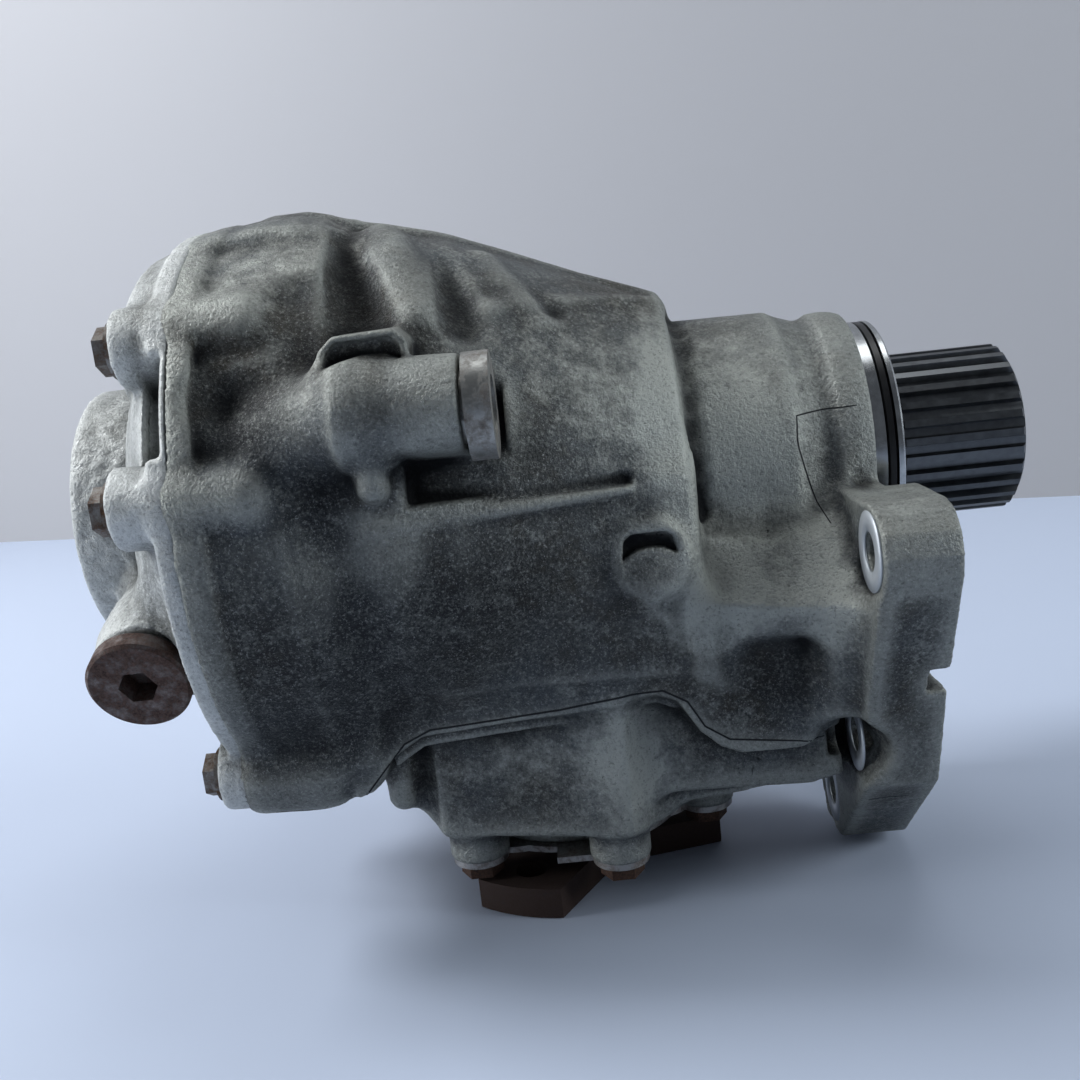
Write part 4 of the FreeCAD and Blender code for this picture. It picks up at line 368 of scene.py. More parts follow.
def brick(low, high, rounding=1.0):
    """Box with rounded edges."""
    low, high = np.array(low, np.float32), np.array(high, np.float32)
    middle, half = (low + high) / 2, (high - low) / 2 - rounding

    def distance(x, y, z):
        over = [np.abs(p - m) - h for p, m, h in zip((x, y, z), middle, half)]
        outside = np.sqrt(sum(np.maximum(o, 0) ** 2 for o in over))
        inside = np.minimum(np.maximum(np.maximum(over[0], over[1]), over[2]), 0)
        return outside + inside - rounding
    return low, high, distance


def outline_distance(a, b, corners):
    """Distance from points (a, b) to a closed outline, negative inside."""
    best = np.full(np.broadcast(a, b).shape, 1e9, np.float32)
    inside = np.zeros(best.shape, bool)
    for (a0, b0), (a1, b1) in zip(corners, corners[1:] + corners[:1]):
        da, db = a1 - a0, b1 - b0
        along = np.clip(((a - a0) * da + (b - b0) * db) / (da * da + db * db), 0, 1)
        best = np.minimum(best, (a - a0 - along * da) ** 2 + (b - b0 - along * db) ** 2)
        inside ^= ((b0 > b) != (b1 > b)) & (a < a0 + (b - b0) * da / (db if db else 1e-9))
    return np.where(inside, -1, 1) * np.sqrt(best)


def slab(corners, start, end, along, rounding=2.0):
    """Outline pushed along an axis: along is x, y or z, and the corners are in the other two axes."""
    flat = np.array(corners, np.float32)
    low2, high2 = flat.min(0), flat.max(0)
    order = {"x": 0, "y": 1, "z": 2}[along]
    low = np.insert(low2, order, start)
    high = np.insert(high2, order, end)

    def distance(x, y, z):
        points = [x, y, z]
        depth = points.pop(order)
        side = outline_distance(points[0], points[1], [tuple(c) for c in corners])
        caps = np.maximum(start - depth, depth - end)
        return melt_max(side, caps, rounding)
    return low, high, distance


def drawn_out(sections, rounding=3.0):
    """Body along X through outlines in the YZ plane: sections is a list of (x, corners)."""
    places = [s[0] for s in sections]
    every = np.array([c for s in sections for c in s[1]], np.float32)
    low = np.array([places[0], every[:, 0].min(), every[:, 1].min()])
    high = np.array([places[-1], every[:, 0].max(), every[:, 1].max()])

    def distance(x, y, z):
        slices = []
        for here in x[:, 0, 0]:
            k = int(np.clip(np.searchsorted(places, here) - 1, 0, len(places) - 2))
            share = np.clip((here - places[k]) / (places[k + 1] - places[k]), 0, 1)
            first, second = np.array(sections[k][1]), np.array(sections[k + 1][1])
            corners = [tuple(c) for c in first + share * (second - first)]
            slices.append(outline_distance(y[0], z[0], corners))
        side = np.stack(slices)
        caps = np.maximum(places[0] - x, x - places[-1])
        return melt_max(side, caps, rounding)
    return low, high, distance


def on_ring(x, radius, angle):
    """Point at an angle up from the front about the output axis."""
    turn = math.radians(angle)
    return x, -radius * math.cos(turn), AXIS_Z + radius * math.sin(turn)


def cover_bolt_spots():
    """Places (y, z) of the cover's bolts, the one on the ear last."""
    spots = [on_ring(0, BOLT_RING, angle)[1:] for angle in BOLT_ANGLES]
    spots.append(on_ring(0, *EAR_BOLT)[1:])
    return spots


def tower_bolt_spots():
    """Places (x, y) of the six bolts under the tower."""
    turns = [math.radians(TOWER_FIRST + 60 * k) for k in range(6)]
    return [(TOWER_RING * math.cos(t), TOWER_RING * math.sin(t)) for t in turns]


def sector(line, inner, first, last, rounding=2.0):
    """Arc between two angles up from the front: line is its outer (x, radius), inner its bore."""
    turned_distance = turned(line)[2]
    middle = math.radians((first + last) / 2)
    half = math.radians(last - first) / 2
    outer = max(r for _, r in line)
    corners = [on_ring(0, r, first + (last - first) * k / 6)[1:] for r in (inner, outer) for k in range(7)]
    low = (line[0][0], min(c[0] for c in corners) - MARGIN, min(c[1] for c in corners) - MARGIN)
    high = (line[-1][0], max(c[0] for c in corners) + MARGIN, max(c[1] for c in corners) + MARGIN)

    def distance(x, y, z):
        radial = np.hypot(y, z - AXIS_Z)
        turn = np.arctan2(z - AXIS_Z, -y) - middle
        turn = np.abs((turn + np.pi) % (2 * np.pi) - np.pi)
        sides = (turn - half) * (inner + outer) / 2
        band = melt_max(turned_distance(x, y, z), inner - radial, rounding)
        return melt_max(sides, band, rounding)
    return low, high, distance


def case_body(grid):
    """Drum, cone and neck, the rim of the cover joint and the raised pad over its top."""
    add(grid, turned(DRUM_LINE), 1.0)
    add(grid, turned(((JOINT_X, RIM_RADIUS), (-87.6, RIM_RADIUS), (-86.8, 86))), 1.0)
    add(grid, turned(((88, 38), (91, 42), (95.5, 42.4), (98, 41.6))), 2.0)
    add(grid, sector(((JOINT_X, RIM_RADIUS), (-82, 86.2), (-66, 84.4)), 72, -64, 5, 6.0), 4.0)
    pad = ((JOINT_X, 86.6), (-85, 88.6), (-74, 90), (-64, 89.8), (-56, 87.8), (-51, 84))
    add(grid, sector(pad, 74, 70, 106, 4.0), 5.0)
    add(grid, sector(((JOINT_X, 85.6), (-60, 85.8), (-52.5, 85.6), (-50.5, 83)), 74, 51, 76, 1.5), 4.0)


def case_bolt_bosses(grid):
    """Round bosses behind the joint for the cover's bolts, and the ear with its own bolt."""
    for y, z in cover_bolt_spots():
        add(grid, round_cone((-92, y, z), (-75, y, z), 12.2, 12.8), 2.5)
    y, z = cover_bolt_spots()[-1]
    joint = ((y - 11, z + 34), (y - 12, z), (y - 7, z - 10), (y + 40, z - 12), (y + 40, z + 34))
    inner = ((y - 14, z + 34), (y - 10, z + 4), (y - 5, z - 5), (y + 40, z - 6), (y + 40, z + 34))
    add(grid, drawn_out(((JOINT_X, joint), (-68, joint), (-54, inner)), 3.0), 5.0)


def case_ridges(grid):
    """Parting flash over the top, the edge below it and the folds that come down from it."""
    crest = ((-74, 88.6), (-64, 89.4), (-55.6, 87), (-40, 83.6), (-25, 79.4), (-4, 71.2), (42.5, 51.2))
    for angle in (90, 128, 163):
        drop = 0 if angle == 90 else 1.5
        add(grid, bead([on_ring(x, r - 2 - drop, angle) for x, r in crest], 3.0), 5.0)
    add(grid, bead([on_ring(-12, 71.6, 49), on_ring(10, 62.6, 58), on_ring(41, 50.4, 76)], 3.0), 4.0)
    add(grid, bead([on_ring(-39, 79, 80), on_ring(-34, 78, 66), on_ring(-27, 76, 46)], 5.5), 7.0)
    add(grid, bead([on_ring(-10, 70, 74), on_ring(-4, 68, 62), on_ring(6, 63, 50)], 4.0), 6.0)


def case_hollows(grid):
    """Wedge-shaped hollows between the folds, and the pockets behind the joint rim."""
    cut(grid, round_cone(on_ring(-48.5, 87, 72), on_ring(-42, 86, 43), 3.5, 11.5), 2.5)
    cut(grid, round_cone(on_ring(-20, 81, 70), on_ring(-12.5, 80.5, 44), 2.5, 8.5), 2.5)
    cut(grid, round_cone(on_ring(9, 70, 58), on_ring(12, 68, 54), 3.0, 3.5), 4.0)
    cut(grid, round_cone(on_ring(-78, 91.5, 28.5), on_ring(-62, 95, 28.5), 11.0, 12.0), 4.0)
    cut(grid, round_cone(on_ring(-53, 97, 12), on_ring(-57, 98, 0), 14.5, 14.5), 4.0)
    cut(grid, round_cone(on_ring(-56, 97, 50), on_ring(-54, 97, 33), 14.5, 14.5), 3.0)
    for first, last, deep in ((126, 146, 74), (162, 182, 74), (198, 218, 74), (234, 254, 74)):
        cut(grid, sector(((-87, 99), (-73, 99)), deep, first, last, 2.0), 3.0)


CRESCENT = ((-50, 178), (-49.4, 181.8), (-46.5, 184.4), (-32, 184.8), (-29.6, 182.5), (-29.4, 178.6), (-34, 180.4),
            (-40, 180.6), (-45, 179.6))
SMALL_CRESCENT = ((22.8, 115.6), (23.4, 120.6), (25.8, 122.6), (35.2, 122.7), (37.6, 121.2), (38.4, 116.2),
                  (34.8, 118.2), (30.6, 118.8), (26.4, 118.0))


def case_front(grid):
    """Tube boss, shelf, crescent hollows and the other cast details of the front wall."""
    left = ((-50, 68), (-61, 82), (-66, 112), (-64, 138), (-30, 150), (0, 150), (0, 68))
    right = ((-47, 60), (-60, 80), (-61, 106), (-54, 136), (-30, 160), (0, 160), (0, 60))
    add(grid, drawn_out(((-30, left), (45, right)), 2.0), 8.0)
    rim = ((-51.5, 174), (-51, 182.5), (-47.5, 186), (-31, 186.6), (-27.8, 183.6), (-27.6, 174))
    add(grid, slab(rim, -77.5, -58, "y", 1.0), 1.5)
    add(grid, rod((-46, -77, 165.5), (TUBE_END, TUBE_Y, TUBE_Z), TUBE_RADIUS, 1.2), 1.2)
    add(grid, round_cone((-64, -68, 160), (-46, -76.5, 165.5), 13.5, 14.0), 6.0)
    cut(grid, slab(CRESCENT, -95, -75.8, "y", 0.4), 0.4)
    add(grid, bead([(-40.5, -82, 158), (-40.5, -82.5, 147)], 4.5), 3.0)
    add(grid, bead([(-45, -80.6, 135), (-10, -72.6, 135.6), (26, -59, 136)], 2.6), 1.2)
    cut(grid, bead([(-52, -89, 132), (-50, -87, 112), (-47, -80, 90), (-43, -71, 76)], 6.0), 9.0)
    cut(grid, sector(((-33, 99), (-7, 99)), 72.2, 5.2, 14, 1.5), 2.0)
    cut(grid, rod((TUBE_END, TUBE_Y, TUBE_Z), (-5.5, TUBE_Y, TUBE_Z), 17.0, 1.0), 1.5)
    cut(grid, round_cone((0, -82, 158), (14, -76, 147), 9.0, 5.0), 8.0)
    cut(grid, bead([(-8, -75.2, 139.8), (26, -60.6, 138.6)], 2.3), 0.8)
    add(grid, rod((31, -63.0, 115), (31, -50, 113), 10.8, 2.0), 4.0)
    add(grid, round_cone((31, -53.5, 108), (31, -52, 94), 10.0, 9.0), 4.0)
    cut(grid, slab(SMALL_CRESCENT, -80, -60.2, "y", 0.4), 0.5)
    groove = [on_ring(48.6, 47.6, a) for a in range(84, -24, -12)]
    cut(grid, bead(groove, 3.6), 1.0)


def case_web(grid):
    """Wall between tower and mounting flange, its pocket, and the sloping webs below."""
    add(grid, drawn_out(((44, ((-46, 58), (-59, 78), (-60, 100), (-48, 116), (-20, 126), (0, 126), (0, 58))),
                         (66, ((-46, 54), (-59, 66), (-65, 98), (-52, 114), (-24, 130), (0, 130), (0, 54))),
                         (90, ((-46, 48), (-60, 60), (-72, 98), (-58, 116), (-30, 140), (0, 140), (0, 48)))), 2.0), 9.0)
    cut(grid, brick((52.5, -90, 60), (79, -56.5, 88), 7.0), 4.0)
    add(grid, slab(((22, 70), (22, 42), (28, 38), (74, 36.5), (90, 40), (90, 62), (46, 66)), -49, -38, "y", 2.0), 2.5)
    add(grid, slab(((20, 60), (20, 31), (50, 33), (76, 37), (90, 42), (90, 60)), -44, -36, "y", 2.0), 2.0)
    add(grid, slab(((20, 60), (20, 31), (50, 33), (90, 40), (90, 60)), 20, 28, "y", 2.0), 4.0)
    add(grid, slab(((-62, 60), (-55, 42), (-44, 33), (-28, 27), (-28, 76), (-62, 76)), -40, -33, "y", 2.0), 3.0)
    add(grid, slab(((-62, 60), (-44, 32), (-28, 30), (-28, 76), (-62, 76)), 24, 31, "y", 2.0), 4.0)
    add(grid, bead([(-52, -41, 42), (-50, -41, 60)], 4.0), 4.0)
    add(grid, round_cone((-50, 0, 66), (-30, 0, 52), 16, 22), 12.0)


LIP_LINE = ((-62, 50), (-58, 51), (-50.5, 61), (-41, 66.8), (0, 69.6), (24, 73.4), (29, 73.6), (35, 70.5), (41, 60),
            (47, 54.5), (53, 52), (90, 52))


def case_tower(grid):
    """Six-sided pinion tower with round bolt bosses, overhung along LIP_LINE, as (x, z), by the mould's upper half."""
    corners = []
    reach = (TOWER_RING + 9.5) * 1.08
    for k in range(6):
        turn = math.radians(TOWER_FIRST + 60 * k)
        corners.append((reach * math.cos(turn), reach * math.sin(turn)))
    add(grid, slab(corners, 28, 74, "z", 2.5), 6.0)
    add(grid, rod((0, 0, TOWER_FACE), (0, 0, 30), 34.5, 0.5), 2.0)
    for x, y in tower_bolt_spots():
        add(grid, rod((x, y, TOWER_FACE), (x, y, 50), 9.6, 0.8), 4.0)
    upper = LIP_LINE + ((90, 84), (-62, 84))
    add(grid, slab(upper, -57, -30, "y", 0.8), 4.0)
    ledge = tuple((x, z - 4) for x, z in LIP_LINE[2:8])
    add(grid, slab(ledge + ((35, 80), (-50, 80)), -54.2, -30, "y", 0.8), 1.0)


def case_flange(grid):
    """Mounting flange: rounded ears round five bolt holes, each spotfaced from behind."""
    outline = ((-75, 127), (-81.5, 125.3), (-86.3, 120.5), (-88, 114), (-86.8, 108), (-83.5, 100), (-74, 80), (-69, 70),
               (-58, 38), (-36, 18), (-20, 3.5), (-14, 2.5), (0, 3), (9, 15), (50, 44), (50.5, 57), (78, 108),
               (78.5, 116), (75, 123), (68, 126.5), (30, 126.5), (-30, 126.5))
    add(grid, slab(outline, FLANGE_BACK, FLANGE_FACE, "x", 1.0), 2.5)
    add(grid, drawn_out(((76, ((-56, 56), (-63, 98), (-50, 112), (0, 122), (0, 40), (-30, 40))),
                         (90, ((-62, 58), (-80, 98), (-62, 108), (0, 124), (0, 30), (-22, 30)))), 3.0), 6.0)
    cut(grid, rod((100.8, 0, AXIS_Z), (112, 0, AXIS_Z), 50, 0.4), 0.6)
    cut(grid, brick((104, -110, 70.5), (114, -50, 78), 0.3), 0.6)
    for y, z in FLANGE_HOLES:
        cut(grid, rod((SPOTFACE_FROM, y, z), (SPOTFACE_TO, y, z), SPOTFACE_RADIUS, 0.6), 1.0)
        cut(grid, brick((SPOTFACE_FROM, y - 60 if y < -20 else y, z - 10.5), (SPOTFACE_TO, y, z + 10.5), 1.5), 1.0)
        cut(grid, rod((80, y, z), (114, y, z), FLANGE_HOLE_RADIUS, 0.3), 0.6)
    cut(grid, round_cone((84, -60, 50), (72, -76, 53), 11.0, 8.0), 4.0)


def case_machining(grid):
    """Bores of the tube, the tower and the neck, which other pieces fill."""
    cut(grid, rod((-26, TUBE_Y, TUBE_Z), (-5, TUBE_Y, TUBE_Z), TUBE_BORE, 0.3), 0.6)
    cut(grid, rod((0, 0, 10), (0, 0, 28), 30, 0.3), 0.6)
    cut(grid, rod((60, 0, AXIS_Z), (FLANGE_FACE, 0, AXIS_Z), 36.2, 0.3), 0.6)


def blurred(field, cells):
    """Mean of the field over a cube, by running sums."""
    for axis in range(3):
        wide = np.pad(field, [(cells + 1, cells) if d == axis else (0, 0) for d in range(3)], mode="edge")
        total = np.cumsum(wide, axis=axis, dtype=np.float64)
        head = np.take(total, range(2 * cells + 1, total.shape[axis]), axis=axis)
        tail = np.take(total, range(0, total.shape[axis] - 2 * cells - 1), axis=axis)
        field = ((head - tail) / (2 * cells + 1)).astype(np.float32)
    return field


def skin(grid):
    """Vertices and quads of the field's surface, one vertex in each cell that it crosses."""
    field = grid["field"]
    cells = np.array(field.shape) - 1
    owners, points, quads = [], [], []
    for d in range(3):
        u, v = (d + 1) % 3, (d + 2) % 3
        low, high = [slice(None)] * 3, [slice(None)] * 3
        low[d], high[d] = slice(0, -1), slice(1, None)
        a, b = field[tuple(low)], field[tuple(high)]
        edge = np.argwhere((a < 0) != (b < 0))
        edge = edge[(edge[:, u] > 0) & (edge[:, v] > 0) & (edge[:, u] < cells[u]) & (edge[:, v] < cells[v])]
        fa, fb = a[tuple(edge.T)], b[tuple(edge.T)]
        point = edge.astype(np.float64)
        point[:, d] += fa / (fa - fb)
        around = []
        for du, dv in ((-1, -1), (0, -1), (0, 0), (-1, 0)):
            cell = edge.copy()
            cell[:, u] += du
            cell[:, v] += dv
            around.append(np.ravel_multi_index(tuple(cell.T), tuple(cells)))
        quad = np.stack(around, 1)
        quad[fa > 0] = quad[fa > 0, ::-1]
        owners += around
        points += [point] * 4
        quads.append(quad)
    names, index = np.unique(np.concatenate(owners), return_inverse=True)
    points = np.concatenate(points)
    count = np.bincount(index)
    middle = np.stack([np.bincount(index, points[:, k]) / count for k in range(3)], 1)
    faces = np.searchsorted(names, np.concatenate(quads))
    return middle, faces


def sample(field, points):
    """The field between its grid points."""
    base = np.clip(np.floor(points).astype(int), 0, np.array(field.shape) - 2)
    part = points - base
    total = 0.0
    for corner in range(8):
        step = np.array([(corner >> k) & 1 for k in range(3)])
        share = np.prod(np.where(step, part, 1 - part), 1)
        total = total + share * field[tuple((base + step).T)]
    return total


SLOPE_STEP, LEAST_SLOPE, MOST_MOVE = 0.4, 0.05, 0.35


def settle(field, points):
    """Moves points onto the surface in three steps, none of them longer than MOST_MOVE cells along an axis."""
    for _ in range(3):
        slope = np.stack([(sample(field, points + d) - sample(field, points - d)) / (2 * SLOPE_STEP)
                          for d in np.eye(3) * SLOPE_STEP], 1)
        size = np.maximum((slope ** 2).sum(1, keepdims=True), LEAST_SLOPE)
        points = points - np.clip(sample(field, points)[:, None] * slope / size, -MOST_MOVE, MOST_MOVE)
    return points


BLUR_LOSS = 5.0


def roughen(grid, depth, seed):
    """Uneven skin of a sand-like casting, a few cells across; the blur takes most of the noise's depth away."""
    grain = np.random.default_rng(seed).normal(size=grid["field"].shape).astype(np.float32)
    grid["field"] += blurred(grain, 1) * depth * BLUR_LOSS


def oil_and_shading_at(points, patches):
    """How dark (to 1) or pale (to -1) the skin is in patches that hold oily and bare metal as well as painted shade and
    painted light: patches are (place, reach, amount).
    """
    total = np.zeros(len(points))
    for place, reach, amount in patches:
        away = ((points - np.array(place)) / np.array(reach)) ** 2
        total += amount * np.exp(-away.sum(1))
    return np.clip(total, -1, 1).astype(np.float32)


def casting_mesh(name, grid, material, body, nodes, most, patches):
    """Skins a casting with at most so many triangles, its relief and its patches of oily metal, painted shade and
    painted light kept as attributes, in place of CAD nodes.
    """
    middle, faces = skin(grid)
    middle = settle(grid["field"], middle)
    relief = sample(blurred(grid["field"], FINE_CELLS), middle) / grid["cell"]
    relief = relief + sample(blurred(grid["field"], WIDE_CELLS), middle) / (grid["cell"] * WIDE_DEPTH)
    start = np.array([a[0] for a in grid["axes"]])
    vertices = (start + middle * grid["cell"]) * MM
    mesh = new_mesh(name, vertices.tolist(), faces.tolist())
    mesh.attributes.new("relief", "FLOAT", "POINT").data.foreach_set("value", np.clip(relief, -1, 1).astype(np.float32))
    oil_and_painted_shading = oil_and_shading_at(start + middle * grid["cell"], patches)
    mesh.attributes.new("oil_and_painted_shading", "FLOAT", "POINT").data.foreach_set("value", oil_and_painted_shading)
    mesh.materials.append(material)
    piece = new_object(name, mesh)
    thin = piece.modifiers.new("thin", "DECIMATE")
    thin.ratio = min(1.0, most / (2 * len(faces)))
    keep_modified(piece)
    piece.data.name = name
    piece.data.shade_smooth()
    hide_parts(*nodes)
    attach(piece, body)
    return piece


def trim(grid, low, high):
    """Keeps the casting inside the outer size of the part."""
    for k, (least, most) in enumerate(zip(low, high)):
        axis = grid["axes"][k][tuple(slice(None) if d == k else None for d in range(3))]
        np.maximum(grid["field"], np.maximum(least / MM - axis, axis - most / MM) + SKIN_CLEARANCE,
                   out=grid["field"])


case_grid = casting_grid((-96, -96, -1), (114, 94, 228), CELL)
for step in (case_body, case_bolt_bosses, case_ridges, case_hollows, case_front, case_web, case_tower, case_flange,
             case_machining):
    step(case_grid)
roughen(case_grid, CASE_SKIN_DEPTH, CASE_SKIN_SEED)
trim(case_grid, *cad_box)
case_metal = casting_material("weathered case casting", 0.7, {
    "Pale": (0.50, 0.52, 0.48, 1), "Grey": (0.10, 0.112, 0.12, 1), "Stain": (0.058, 0.054, 0.045, 1),
    "Grime and shade": (0.010, 0.011, 0.013, 1), "Wear and glint": 0.5, "Dirt and shade": 0.95})
# Patches of oil and road dirt and of painted shade and painted light: darker in the pocket between the bolt bosses,
# round the tube's root, right of its plug, in the web's pocket and low on the front; paler on the tower front, the
# cone, the neck, the belly and the tops of the pad and bosses.
CASE_OIL_AND_SHADING_PATCHES = (
    ((-18, -75, 112), (34, 30, 20), 0.8), ((-20, -75, 88), (48, 30, 14), 0.4), ((-70, -70, 108), (28, 30, 34), 0.85),
    ((-52, -60, 80), (20, 30, 26), 0.4), ((-75, -60, 70), (25, 30, 20), 0.4), ((66, -62, 74), (16, 20, 15), 0.9),
    ((18, -50, 160), (24, 30, 24), -0.45), ((62, -40, 142), (20, 30, 34), -0.9), ((50, -60, 100), (20, 24, 16), -1.0),
    ((-72, -50, 212), (28, 30, 15), -0.5), ((-84, -62, 199), (14, 14, 7), -0.5), ((-84, -86, 150), (12, 12, 8), -0.35),
    ((100, -85, 80), (14, 12, 40), 0.2), ((0, -72, 152), (12, 16, 12), 0.9), ((-72, -80, 168), (12, 16, 10), 1.0),
    ((-56, -62, 180), (9, 16, 12), 0.9), ((-56, -76, 146), (10, 14, 12), 0.9), ((-41, -60, 196), (9, 16, 10), 0.5),
    ((20, -50, 52), (14, 30, 20), -1.0), ((-20, -50, 54), (24, 30, 12), -0.35), ((38, -45, 150), (6, 30, 30), -0.9),
    ((79, -60, 100), (7, 30, 26), -1.0))
case_piece = casting_mesh("case_casting", case_grid, case_metal, "case", ["main_case"], CASE_TRIANGLES, CASE_OIL_AND_SHADING_PATCHES)

# Side cover: a second casting of brighter, pitted aluminium, a shallow bell with bolt bosses,
# pockets in its rim, the round boss for the left shaft's seal and the neck for the filler plug.
COVER_LINE = ((-140, 40.5), (-138.8, 42), (-120, 42), (-118, 52), (-110, 66), (-100, 80), (-98.6, 83), (JOINT_X, 83))
FILLER_SEAT = (-118.2, 70.0, -31.0)
FILLER_TILT = 10.0
COVER_FACE = JOINT_X - 0.2
COVER_TRIANGLES = 120000
COVER_SKIN_DEPTH, COVER_SKIN_SEED = 0.06, 5


def filler_axis():
    """Seat and outward direction of the filler plug."""
    x, y, z = on_ring(*FILLER_SEAT)
    turn = math.radians(FILLER_SEAT[2] + FILLER_TILT)
    return np.array((x, y, z)), np.array((0, -math.cos(turn), math.sin(turn)))


def cover_casting(grid):
    """Bell, bolt bosses and filler neck, then its bores, its skin and the pockets in its rim."""
    add(grid, turned(COVER_LINE), 1.0)
    add(grid, turned(((-99.2, 86.2), (-98.4, RIM_RADIUS), (JOINT_X - 0.3, RIM_RADIUS))), 1.0)
    rise = ((-119.5, 64), (-118.5, 68), (-109.6, 81.6), (-97.3, 85.8), (COVER_FACE, 86.8))
    add(grid, sector(rise, 50, 52, 106, 3.0), 4.0)
    for y, z in cover_bolt_spots()[:-1]:
        add(grid, rod((-110.8, y, z), (COVER_FACE, y, z), 11.4, 1.5), 3.0)
    y, z = cover_bolt_spots()[-1]
    add(grid, rod((-103.3, y, z), (COVER_FACE, y, z), 11.2, 1.5), 3.0)
    add(grid, round_cone((-97.5, y, z), (-97.5, y * 0.8, z + 16), 4.0, 4.2), 8.0)
    seat, out = filler_axis()
    add(grid, round_cone(seat - out * 26 + np.array((6, 0, 4)), seat - out * 8, 15, 14), 6.0)
    add(grid, rod(seat - out * 18, seat, 14.6, 0.8), 3.0)
    add(grid, round_cone((-104, seat[1] + 2, seat[2] + 26), seat - out * 10, 6, 12), 8.0)
    cut(grid, rod((-150, 0, AXIS_Z), (-90, 0, AXIS_Z), 32.2, 0.3), 0.6)
    cut(grid, rod((-111, 0, AXIS_Z), (-90, 0, AXIS_Z), 60, 3), 1.0)
    cut(grid, rod(seat - out * 14, seat + out * 4, 9.1, 0.3), 0.6)
    cut(grid, rod(seat + out * 0.02, seat + out * 20, 16, 0.3), 0.6)
    roughen(grid, COVER_SKIN_DEPTH, COVER_SKIN_SEED)
    for first, last in ((18.5, 38.5), (128, 146), (164, 182), (200, 218)):
        cut(grid, sector(((-104, 99), (-95.2, 99)), 68, first, last, 1.5), 2.0)
    cut(grid, brick((JOINT_X - 0.1, -100, 20), (-80, 100, 240), 0.1), 0.3)


cover_grid = casting_grid((-143, -96, 36), (-90, 96, 228), CELL)
cover_casting(cover_grid)
trim(cover_grid, *cad_box)
cover_metal = casting_material("pitted cover casting", 0.45, {
    "Pale": (0.80, 0.82, 0.80, 1), "Grey": (0.46, 0.48, 0.48, 1), "Stain": (0.15, 0.155, 0.14, 1),
    "Grime and shade": (0.03, 0.03, 0.03, 1), "Wear and glint": 0.55, "Dirt and shade": 1.0})
# Oil and painted shade and light on the cover: darker low at the front, paler on the shaft boss where light falls.
COVER_OIL_AND_SHADING_PATCHES = (((-105, -60, 80), (20, 30, 20), 0.3), ((-130, -20, 133), (14, 60, 50), -0.5))
casting_mesh("cover_casting", cover_grid, cover_metal, "case", ["side_cover"], COVER_TRIANGLES, COVER_OIL_AND_SHADING_PATCHES)

# Spotfaces of the mounting flange: bright rings where a cutter has faced the casting round each
# bolt hole, thin rings that lie on the cut face.
spot_metal, _, spot_shader = new_material("faced aluminium")
spot_shader.inputs["Base Color"].default_value = (0.62, 0.66, 0.70, 1)
spot_shader.inputs["Metallic"].default_value = 0.55
spot_shader.inputs["Roughness"].default_value = 0.5


def faced_ring_tree():
    """Geometry Nodes: a flat ring on every point of the given mesh, facing along X."""
    tree = bpy.data.node_groups.new("faced_rings", "GeometryNodeTree")
    socket(tree, "NodeSocketGeometry", "Geometry", "INPUT")
    for name, value in (("Radius", 0.008), ("Width", 0.005), ("Depth", 0.0006)):
        socket(tree, "NodeSocketFloat", name, "INPUT", value)
    socket(tree, "NodeSocketMaterial", "Finish", "INPUT")
    socket(tree, "NodeSocketGeometry", "Geometry", "OUTPUT")
    made = {}
    for key, kind in (("given", "NodeGroupInput"), ("out", "NodeGroupOutput"),
                      ("circle", "GeometryNodeCurvePrimitiveCircle"),
                      ("section", "GeometryNodeCurvePrimitiveQuadrilateral"), ("sweep", "GeometryNodeCurveToMesh"),
                      ("place", "GeometryNodeInstanceOnPoints"), ("real", "GeometryNodeRealizeInstances"),
                      ("paint", "GeometryNodeSetMaterial")):
        made[key] = tree.nodes.new(kind)
    made["circle"].inputs["Resolution"].default_value = 48
    made["place"].inputs["Rotation"].default_value = (0, math.pi / 2, 0)
    for source, output, target, entry in (
            ("given", "Radius", "circle", "Radius"), ("given", "Width", "section", "Width"),
            ("given", "Depth", "section", "Height"),
            ("circle", "Curve", "sweep", "Curve"), ("section", "Curve", "sweep", "Profile Curve"),
            ("given", "Geometry", "place", "Points"), ("sweep", "Mesh", "place", "Instance"),
            ("place", "Instances", "real", "Geometry"), ("real", "Geometry", "paint", "Geometry"),
            ("given", "Finish", "paint", "Material"), ("paint", "Geometry", "out", "Geometry")):
        tree.links.new(made[source].outputs[output], made[target].inputs[entry])
    return tree


def laid_out(name, points, tree, **values):
    """Runs a node tree on a mesh of points, in millimetres, and keeps the plain mesh."""
    mesh = new_mesh(name, [tuple(c * MM for c in p) for p in points], [])
    piece = new_object(name, mesh)
    step = piece.modifiers.new("lay out", "NODES")
    step.node_group = tree
    for item in tree.interface.items_tree:
        if item.in_out == "INPUT" and item.name in values:
            step[item.identifier] = values[item.name]
    keep_modified(piece)
    return piece


ring_tree = faced_ring_tree()
spots = laid_out("spotface_rings", [(SPOTFACE_TO - 0.1, y, z) for y, z in FLANGE_HOLES], ring_tree,
                 Radius=0.0084, Width=0.0056, Depth=0.0006, Finish=spot_metal)
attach(spots, "case")

# Seams of the casting: the line of a mould insert on the neck and web, the parting line that runs
# over the tower and the crease across the flange, all thin dark strips of painted shade along them.
# Painted shade: the near-black strips stand in for the shadow along each lip and step.
seam_shade, _, seam_shader = new_material("painted shade along a seam")
seam_shader.inputs["Base Color"].default_value = (0.012, 0.013, 0.015, 1)
seam_shader.inputs["Roughness"].default_value = 0.8
case_skin = BVHTree.FromObject(case_piece, bpy.context.evaluated_depsgraph_get())
IN_FRONT = -0.2
SEAM_STEP, SEAM_DEPTH, SEAM_TIP = 1.5, 0.25, 0.35


